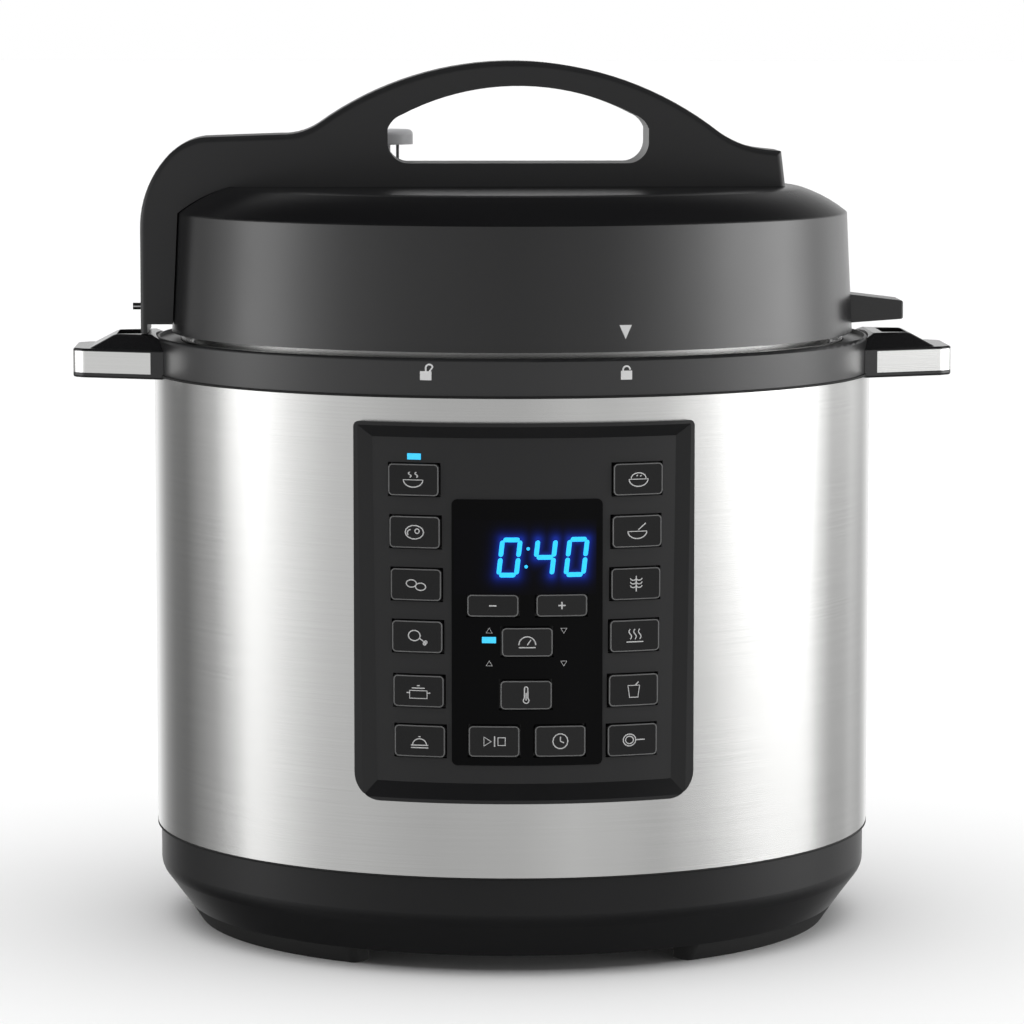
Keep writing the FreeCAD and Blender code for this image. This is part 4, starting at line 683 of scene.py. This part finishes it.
glow_film, shader = start_material("glow_film", 0.12, specular=0.06)[:2]
strength = new_node(glow_film, "Attribute", attribute_name="glow").outputs["Fac"]
mixed = {"Factor": strength, "A": (0.0004, 0.0003, 0.0007, 1), "B": (0.006, 0.022, 0.26, 1)}
mix = new_node(glow_film, "Mix", mixed, data_type="RGBA")
glow_film.node_tree.links.new(mix.outputs["Result"], shader.inputs["Emission Color"])
shader.inputs["Emission Strength"].default_value = 1.0
shader.inputs["Base Color"].default_value = (*window_tone, 1)
glow_mesh.materials.append(glow_film)
display_glow = add_object("display_glow", glow_mesh)
wrap_round(glow_mesh, window_radius + GLOW_LIFT, 0.0, DIGIT_RISE)
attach(display_glow, "base")

# ---------------------------------------------------------------------------------------------
# Indicator lights
# Two small light guides of clear plastic, lit by blue lamps: one above the button in use, and
# one beside the pressure button for the level that is set.
# ---------------------------------------------------------------------------------------------
paint(lit("lamp_blue", (0.03, 0.40, 0.66), 1.0), "indicator_lights")

# ---------------------------------------------------------------------------------------------
# Push buttons
# Eighteen gloss black caps. Each has a thin grey line round its rim and a plain pale pictogram,
# both pad-printed, and they move with their own cap.
# ---------------------------------------------------------------------------------------------
button_black = moulded_plastic("button_black", (0.004, 0.004, 0.0042), 0.16, 0.003, 0.00001, 0.28)
print_grey = moulded_plastic("print_grey", (0.12, 0.12, 0.12), 0.5, drift=0.2)
print_pale = moulded_plastic("print_pale", (0.50, 0.50, 0.50), 0.5, drift=0.1)

OUTLINE_STEP = 0.0004
outline_sizes = {
    "Width": 0.0189, "Height": 0.0117, "Corner": 0.0013, "Line": 0.00042, "Proud": 0.00008
}
outline_tree, given, out = new_tree("button_outline", outline_sizes)
inner_width = tree_node(
    outline_tree, "ShaderNodeMath", {0: given["Width"], 1: given["Line"]}, operation="SUBTRACT"
)
inner_height = tree_node(
    outline_tree, "ShaderNodeMath", {0: given["Height"], 1: given["Line"]}, operation="SUBTRACT"
)
rim = tree_node(
    outline_tree,
    "GeometryNodeCurvePrimitiveQuadrilateral",
    {"Width": inner_width.outputs["Value"], "Height": inner_height.outputs["Value"]},
)
rounded_rim = tree_node(
    outline_tree,
    "GeometryNodeFilletCurve",
    {"Curve": rim.outputs["Curve"], "Radius": given["Corner"], "Count": 6},
    mode="POLY",
)
stepped_rim = tree_node(
    outline_tree,
    "GeometryNodeResampleCurve",
    {"Curve": rounded_rim.outputs["Curve"], "Length": OUTLINE_STEP},
    mode="LENGTH",
)
line_section = tree_node(
    outline_tree,
    "GeometryNodeCurvePrimitiveQuadrilateral",
    {"Width": given["Line"], "Height": given["Proud"]},
)
line_mesh = swept(outline_tree, stepped_rim.outputs["Curve"], line_section.outputs["Curve"])
stood_up = tree_node(
    outline_tree,
    "GeometryNodeTransform",
    {"Geometry": line_mesh, "Rotation": (math.radians(90), 0, 0)},
)
close_tree(outline_tree, given, out, stood_up.outputs["Geometry"])


def arc(centre, radius, start, end, steps=14, squash=1.0):
    """Points on a circle's arc, in millimetres, from one angle to another in degrees."""
    return [
        (centre[0] + radius * math.cos(math.radians(start + (end - start) * i / steps)),
         centre[1] + squash * radius * math.sin(math.radians(start + (end - start) * i / steps)))
        for i in range(steps + 1)
    ]


def wave(x, low, high, swing=0.5, steps=12):
    """A rising curl of steam."""
    return [
        (x + swing * math.sin(2 * math.pi * i / steps), low + (high - low) * i / steps)
        for i in range(steps + 1)
    ]


def bowl():
    """A bowl seen from the side."""
    half, depth = 3.6, 2.6
    return [arc((0, 0), half, 180, 360, squash=depth / half) + [(-half, 0)]]


PICTOGRAMS = {
    "button_soup": bowl() + [wave(-1.2, 0.9, 2.8), wave(1.2, 0.9, 2.8)],
    "button_rice": bowl() + [arc((0, 0.3), 2.8, 0, 180, squash=0.7), [(-0.8, 1.2), (-0.2, 1.4)],
                             [(0.6, 1.0), (1.2, 1.3)]],
    "button_meat": [arc((0, 0), 3.4, 0, 360, squash=0.72), arc((1.0, 0.4), 0.8, 0, 360),
                    arc((-1.4, -0.3), 1.2, 90, 220)],
    "button_porridge": bowl() + [[(0.4, 0.6), (3.2, 2.9)]],
    "button_bean": [arc((-1.6, 0.4), 1.9, 20, 380, squash=0.7),
                    arc((1.8, -0.7), 1.9, 20, 380, squash=0.7)],
    "button_multigrain": [[(0, -2.8), (0, 2.8)]]
    + [arc((side * 1.1, z), 1.1, 90 - side * 90 + 180, 90 + side * 90 + 180, 8, 0.7)
       for side in (-1, 1) for z in (-0.6, 0.7, 2.0)],
    "button_poultry": [arc((-1.0, 0.4), 2.2, 0, 360, squash=0.85), [(0.9, -0.5), (2.8, -1.9)],
                       arc((3.2, -1.9), 0.5, 0, 360), arc((2.8, -2.4), 0.5, 0, 360)],
    "button_steam": [[(-3.2, -2.2), (3.2, -2.2)], wave(-1.8, -1.2, 2.4), wave(0, -1.2, 2.4),
                     wave(1.8, -1.2, 2.4)],
    "button_slow_cook": [[(-3.2, 0.2), (-3.2, -2.6), (3.2, -2.6), (3.2, 0.2), (-3.2, 0.2)],
                         [(-2.4, 1.1), (2.4, 1.1)], [(-0.5, 2.0), (0.5, 2.0)],
                         [(-4.4, -0.6), (-3.2, -0.6)], [(3.2, -0.6), (4.4, -0.6)]],
    "button_yogurt": [[(-2.2, 1.7), (-1.6, -2.6), (1.6, -2.6), (2.2, 1.7), (-2.2, 1.7)],
                      [(0.6, 1.7), (1.8, 3.0)]],
    "button_warm": [[(-3.2, -2.4), (3.2, -2.4)], arc((0, -1.5), 2.6, 0, 180, squash=0.9),
                    [(-3.2, -1.5), (3.2, -1.5)], [(-0.4, 1.6), (0.4, 1.6)]],
    "button_saute": [arc((-1.2, 0), 2.4, 0, 360, squash=0.9), [(1.2, 0), (4.6, 0)],
                     arc((-1.2, 0), 1.5, 0, 360, squash=0.9)],
    "button_minus": [[(-1.3, 0), (1.3, 0)]],
    "button_plus": [[(-1.3, 0), (1.3, 0)], [(0, -1.3), (0, 1.3)]],
    "button_pressure": [arc((0, -1.0), 3.0, 0, 180), [(0, -1.0), (1.3, 0.9)],
                        [(-3.0, -1.9), (3.0, -1.9)]],
    "button_temperature": [arc((0, -1.9), 1.0, 130, 410), [(-0.6, -1.1), (-0.6, 2.4)],
                           arc((0, 2.4), 0.6, 180, 0), [(0.6, 2.4), (0.6, -1.1)],
                           [(0, -1.9), (0, 0.9)]],
    "button_start_stop": [[(-3.6, -1.6), (-3.6, 1.6), (-1.0, 0), (-3.6, -1.6)],
                          [(0.2, -1.9), (0.2, 1.9)],
                          [(1.4, -1.4), (1.4, 1.4), (4.0, 1.4), (4.0, -1.4), (1.4, -1.4)]],
    "button_delay": [arc((0, 0), 2.7, 0, 360), [(0, 1.6), (0, 0), (1.3, -0.6)]],
}
PRINT_WIDTH = 0.00046
PRINT_PROUD = 0.00005
SIGN_SCALE = 1.25
SAME_POINT = 0.001
CAP_DEPTH = 0.0006
RIM_INSET = 0.0004


def printed(name, strokes, width, material):
    """Lines of even width, drawn in millimetres in X and Z, as a thin raised print."""
    curve = bpy.data.curves.new(name, "CURVE")
    curve.dimensions = "3D"
    curve.bevel_depth = width / 2
    curve.bevel_resolution = 1
    curve.use_fill_caps = True
    for stroke in strokes:
        closed = (Vector(stroke[0]) - Vector(stroke[-1])).length < SAME_POINT
        points = stroke[:-1] if closed else stroke
        spline = curve.splines.new("POLY")
        spline.points.add(len(points) - 1)
        spline.use_cyclic_u = closed
        for i, (x, z) in enumerate(points):
            spline.points[i].co = (x / 1000, 0, z / 1000, 1)
    worker = add_object(name + "_worker", curve)
    evaluated = worker.evaluated_get(bpy.context.evaluated_depsgraph_get())
    mesh = bpy.data.meshes.new_from_object(evaluated)
    bpy.data.objects.remove(worker)
    for vertex in mesh.vertices:
        vertex.co.y *= PRINT_PROUD / (width / 2)
    mesh.materials.clear()
    mesh.materials.append(material)
    mesh.name = name
    return add_object(name, mesh)


def joined(name, *pieces):
    """One object from several, keeping each one's finish."""
    chosen = list(pieces)
    with bpy.context.temp_override(
        active_object=pieces[0], selected_editable_objects=chosen, selected_objects=chosen
    ):
        bpy.ops.object.join()
    pieces[0].name = name
    pieces[0].data.name = name
    return pieces[0]


for button, strokes in PICTOGRAMS.items():
    paint(button_black, button)
    corners = [vertex.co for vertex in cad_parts[button].data.vertices]
    front = max(math.hypot(co.x, co.y) for co in corners)
    face = [co for co in corners if math.hypot(co.x, co.y) > front - CAP_DEPTH]
    turns = [math.atan2(co.x, -co.y) for co in face]
    heights = [co.z for co in face]
    outline_sizes["Width"] = (max(turns) - min(turns)) * front - RIM_INSET
    outline_sizes["Height"] = max(heights) - min(heights) - RIM_INSET
    outline = run_tree(outline_tree, button + "_outline", print_grey, outline_sizes, [(0, 0, 0)])
    scale = SIGN_SCALE if button in ("button_minus", "button_plus") else 1.0
    icon = printed(button + "_icon", strokes, PRINT_WIDTH * scale, print_pale)
    mark = joined(button + "_print", outline, icon)
    middle = (max(turns) + min(turns)) / 2
    wrap_round(mark.data, front, middle, (max(heights) + min(heights)) / 2)
    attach(mark, button)

# ---------------------------------------------------------------------------------------------
# Other marks on the body
# High and low arrows on the window, an open and a closed padlock on the collar, and the lid's
# arrow that points at them. All are pale pad print.
# ---------------------------------------------------------------------------------------------
ARROW_WIDTH = 0.0003
up_arrow = [(-1.1, -0.8), (0, 1.0), (1.1, -0.8), (-1.1, -0.8)]
down_arrow = [(-1.1, 0.8), (0, -1.0), (1.1, 0.8), (-1.1, 0.8)]
LEVEL_MARKS = [(-0.0129, 0.1266, up_arrow), (0.0137, 0.1266, down_arrow),
               (-0.0129, 0.1148, up_arrow), (0.0137, 0.1148, down_arrow)]
for number, (across, rise, arrow) in enumerate(LEVEL_MARKS):
    mark = printed("level_mark_%d" % number, [arrow], ARROW_WIDTH, print_pale)
    wrap_round(mark.data, window_radius, math.asin(across / window_radius), rise)
    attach(mark, "base")

collar_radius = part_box("collar_ring")[1].x
LOCK_RISE = 0.2185
LOCK_LIFT = 0.00002
BOW_WIDTH = 0.0007
lock_body = [Vector((-0.0021, -0.0028)), Vector((0.0021, -0.0028)), Vector((0.0021, 0.0004)),
             Vector((-0.0021, 0.0004))]
print_white = moulded_plastic("print_white", (0.62, 0.62, 0.62), 0.5, drift=0.06)
closed_bow = arc((0, 0.7), 1.3, 0, 180) + [(-1.3, 0.2)]
open_bow = [(1.3, 0.2)] + arc((1.3, 1.5), 1.3, 20, 180) + [(0.0, 0.2)]
for name, degrees, bow in (("open_lock", -15.0, open_bow), ("closed_lock", 15.4, closed_bow)):
    plate = flat_piece(name + "_plate", [lock_body], print_white, PRINT_PROUD)
    bow_line = printed(name + "_bow", [bow], BOW_WIDTH, print_white)
    mark = joined(name, plate, bow_line)
    wrap_round(mark.data, collar_radius + LOCK_LIFT, math.radians(degrees), LOCK_RISE)
    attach(mark, "base")

# ---------------------------------------------------------------------------------------------
# Side handles and their trim
# Each handle is a gloss black moulding on two hidden screws, with a polished steel band set into
# its edge. The slot on top takes the lid's tab when the lid is stood up.
# ---------------------------------------------------------------------------------------------
handle_gloss = moulded_plastic("handle_gloss", (0.008, 0.008, 0.0085), 0.18, 0.002, 0.00001)
paint(handle_gloss, "left_handle", "right_handle")
trim_steel = brushed_metal("trim_steel", (0.74, 0.74, 0.73), 0.16, line=0.0003)
paint(trim_steel, "left_handle_band", "right_handle_band")

# ---------------------------------------------------------------------------------------------
# Lid cover
# The top of the lid is a gloss black moulding over the steel pressure lid. Its straight band
# turns into a rounded shoulder; the tab on the right drops into the slot of a side handle.
# ---------------------------------------------------------------------------------------------
lid_gloss = moulded_plastic("lid_gloss", (0.005, 0.005, 0.0054), 0.26, 0.0008, 0.000012, 0.7)
paint(lid_gloss, "lid_cover")
POINTER_ANGLE = math.radians(16.2)
BAND_MARK_RISE = 0.2322
BAND_MARK_LIFT = 0.0001
BAND_RADII = (0.1300, 0.1278)
BAND_RISES = (0.2251, 0.2703)
up_band = (BAND_MARK_RISE - BAND_RISES[0]) / (BAND_RISES[1] - BAND_RISES[0])
band_radius = BAND_RADII[0] + (BAND_RADII[1] - BAND_RADII[0]) * up_band
pointer = [Vector((-0.00235, 0.0025)), Vector((0.00235, 0.0025)), Vector((0.0, -0.0025))]
lid_pointer = flat_piece("lid_pointer", [pointer], print_white, PRINT_PROUD)
wrap_round(lid_pointer.data, band_radius + BAND_MARK_LIFT, POINTER_ANGLE, BAND_MARK_RISE)
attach(lid_pointer, "lid")

# ---------------------------------------------------------------------------------------------
# Steel pressure lid, its rack and the seal
# The pressed steel lid carries six lugs, the wire rack and the clear silicone ring that seals it
# on the pot's rim.
# ---------------------------------------------------------------------------------------------
lid_steel = brushed_metal("lid_steel", (0.62, 0.62, 0.61), 0.24, line=0.0005, turned=True)
paint(lid_steel, "pressure_lid", "valve_pipe", "valve_shield")
paint(brushed_metal("wire_steel", (0.60, 0.60, 0.60), 0.2, line=0.001, turned=True), "ring_rack")
silicone = moulded_plastic("silicone", (0.55, 0.55, 0.53), 0.42, 0.002, 0.00002, drift=0.05)
silicone_inputs = silicone.node_tree.nodes["Principled BSDF"].inputs
silicone_inputs["Subsurface Weight"].default_value = 0.25
silicone_inputs["Subsurface Radius"].default_value = (0.003, 0.003, 0.003)
paint(silicone, "sealing_ring", "float_gasket")

# ---------------------------------------------------------------------------------------------
# Lid handle, its arm and the pin
# One satin black moulding bridges the lid and turns down on the left, where a steel pin fixes
# the arm to the steel lid's edge.
# ---------------------------------------------------------------------------------------------
paint(moulded_plastic("handle_satin", (0.013, 0.013, 0.0137), 0.36, grain=0.0005), "lid_handle")
paint(brushed_metal("pin_steel", (0.62, 0.62, 0.62), 0.22, line=0.0002, turned=True), "arm_screw")

# ---------------------------------------------------------------------------------------------
# Steam valve and float
# The grey valve sits loose on its pipe and turns to vent. Beside it a small steel float
# rises in its well when there is pressure.
# ---------------------------------------------------------------------------------------------
paint(moulded_plastic("valve_grey", (0.36, 0.36, 0.37), 0.42), "steam_valve")
float_steel = brushed_metal("float_steel", (0.66, 0.66, 0.66), 0.2, line=0.0002, turned=True)
paint(float_steel, "float_valve")

# ---------------------------------------------------------------------------------------------
# Condensation cup and mains inlet
# The cup is clear polycarbonate and slides down off two rails. The inlet is a black moulding with
# three nickel-plated blades.
# ---------------------------------------------------------------------------------------------
clear_cup = moulded_plastic("clear_cup", (0.78, 0.80, 0.82), 0.08, 0.003, 0.00001, drift=0.03)
cup_inputs = clear_cup.node_tree.nodes["Principled BSDF"].inputs
cup_inputs["Transmission Weight"].default_value = 0.85
cup_inputs["IOR"].default_value = 1.3
paint(clear_cup, "condensation_cup")
paint(moulded_plastic("inlet_black", (0.012, 0.012, 0.012), 0.5), "power_inlet")

pin_sizes = {"Thickness": 0.0021, "Length": 0.0131, "Height": 0.0041}
pin_tree, given, out = new_tree("inlet_pins", pin_sizes)
close_tree(pin_tree, given, out, cube(pin_tree, given, "Thickness", "Length", "Height"))

PIN_PITCH = 0.0070
PIN_RISE = 0.0020
PIN_SET_BACK = 0.00295
inlet_low, inlet_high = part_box("power_inlet")
pin_y = inlet_high.y - PIN_SET_BACK - pin_sizes["Length"] / 2
pin_z = (inlet_low.z + inlet_high.z) / 2
pin_places = [
    (PIN_PITCH * step, pin_y, pin_z + PIN_RISE * up) for step, up in ((-1, -1), (0, 1), (1, -1))
]
pin_nickel = brushed_metal("pin_nickel", (0.66, 0.65, 0.62), 0.24, line=0.0001)
inlet_pins = run_tree(pin_tree, "inlet_pins", pin_nickel, pin_sizes, pin_places)
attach(inlet_pins, "base")

# ---------------------------------------------------------------------------------------------
# Floor, light and camera
# ---------------------------------------------------------------------------------------------
FLOOR_HALF = 40.0
floor_mesh = bpy.data.meshes.new("floor")
floor_mesh.from_pydata(
    [(-FLOOR_HALF, -FLOOR_HALF, 0), (FLOOR_HALF, -FLOOR_HALF, 0), (FLOOR_HALF, FLOOR_HALF, 0),
     (-FLOOR_HALF, FLOOR_HALF, 0)], [], [(0, 1, 2, 3)]
)
floor_white, shader = start_material("floor_white", 0.9, specular=0.0)[:2]
shader.inputs["Base Color"].default_value = (0.9, 0.9, 0.9, 1)
floor_mesh.materials.append(floor_white)
floor = add_object("floor", floor_mesh)
# The metal mirrors the soft boxes in place of the floor.
floor.visible_glossy = False
floor.visible_shadow = False

world = bpy.data.worlds.new("studio")
world.use_nodes = True
bpy.context.scene.world = world
background = world.node_tree.nodes["Background"]
sky = new_node(world, "TexCoord").outputs["Generated"]
sky_parts = new_node(world, "SeparateXYZ", {"Vector": sky})
front_axis = new_node(world, "Math", {0: sky_parts.outputs["Y"], 1: -1.0}, operation="MULTIPLY")
azimuth = new_node(
    world, "Math", {0: sky_parts.outputs["X"], 1: front_axis.outputs["Value"]}, operation="ARCTAN2"
)
around = new_node(
    world,
    "MapRange",
    {"Value": azimuth.outputs["Value"], "From Min": -math.pi, "From Max": math.pi},
)
WORLD_STRENGTH = 6.0
# Brightness by direction, in degrees from the front, right-handed: the low ring is what the steel
# wall mirrors, the high ring with its two soft boxes is what the lid mirrors and what lights it.
LOW_RING = [
    (-180, 1.0), (-165, 1.0), (-150, 0.4), (-141, 0.22), (-130, 0.18), (-111, 0.42), (-101, 0.6),
    (-95, 1.2), (-79, 1.02), (-67, 0.82), (-51, 0.82), (-27, 0.74), (0, 0.86), (18, 1.0),
    (32, 0.88), (45, 0.6), (59, 0.6), (74, 0.7), (88, 1.0), (109, 1.08), (113, 0.7), (121, 0.5),
    (132, 0.5), (138, 0.66), (150, 0.5), (165, 1.0), (180, 1.0),
]
HIGH_RING = [
    (-180, 1.0), (-165, 1.0), (-150, 0.3), (-130, 0.3), (-111, 1.1), (-101, 3.0), (-88, 3.0),
    (-76, 1.8), (-60, 1.0), (-40, 0.7), (0, 0.5), (30, 0.7), (48, 1.4), (62, 2.4), (76, 4.2),
    (102, 4.8), (112, 2.8), (121, 1.2), (138, 1.3), (150, 0.9), (165, 1.0), (180, 1.0),
]
UP_LEVELS = [
    (-1.0, 0.15), (-0.5, 0.22), (-0.22, 0.75), (-0.17, 1.0), (0.07, 1.0), (0.2, 0.5),
    (0.42, 0.15), (0.6, 0.02), (1.0, 0.02),
]
RING_EDGE = -0.07
RING_BLUR = 0.005


def level_ramp(levels, low, high, factor, top):
    """A grey ramp with one stop for each listed place."""
    ramp = new_node(world, "ValToRGB", {"Fac": factor})
    stops = ramp.color_ramp.elements
    while len(stops) < len(levels):
        stops.new(0.5)
    for stop, (place, level) in zip(stops, levels):
        stop.position = (place - low) / (high - low)
        stop.color = (level / top, level / top, level / top, 1)
    return ramp.outputs["Color"]


low_ring = level_ramp(LOW_RING, -180, 180, around.outputs["Result"], WORLD_STRENGTH)
high_ring = level_ramp(HIGH_RING, -180, 180, around.outputs["Result"], WORLD_STRENGTH)
up = sky_parts.outputs["Z"]
over_edge = new_node(
    world,
    "MapRange",
    {"Value": up, "From Min": RING_EDGE - RING_BLUR, "From Max": RING_EDGE + RING_BLUR},
)
mixed = {"Factor": over_edge.outputs["Result"], "A": low_ring, "B": high_ring}
ring_light = new_node(world, "Mix", mixed, data_type="RGBA")
lifted = new_node(world, "MapRange", {"Value": up, "From Min": -1.0, "From Max": 1.0})
up_light = level_ramp(UP_LEVELS, -1.0, 1.0, lifted.outputs["Result"], 1.0)
mixed = {"Factor": 1.0, "A": ring_light.outputs["Result"], "B": up_light}
sky_light = new_node(world, "Mix", mixed, data_type="RGBA", blend_type="MULTIPLY")
world.node_tree.links.new(sky_light.outputs["Result"], background.inputs["Color"])
background.inputs["Strength"].default_value = WORLD_STRENGTH

overhead = bpy.data.lights.new("overhead", "SUN")
overhead.energy = 3.2
overhead.angle = math.radians(100)
add_object("overhead", overhead).visible_glossy = False

CAMERA_TURN = math.radians(-2.0)
CAMERA_DISTANCE = 1.7546
CAMERA_HEIGHT = 0.3416
CAMERA_PITCH = math.radians(6.086)
camera = bpy.data.cameras.new("camera")
camera.lens = 161.1
camera.clip_end = 200
camera_object = add_object("camera", camera)
camera_object.location = (
    CAMERA_DISTANCE * math.sin(CAMERA_TURN), -CAMERA_DISTANCE * math.cos(CAMERA_TURN), CAMERA_HEIGHT
)
camera_object.rotation_euler = (math.radians(90) - CAMERA_PITCH, 0, CAMERA_TURN)
bpy.context.scene.camera = camera_object
bpy.context.scene.view_settings.view_transform = "Standard"
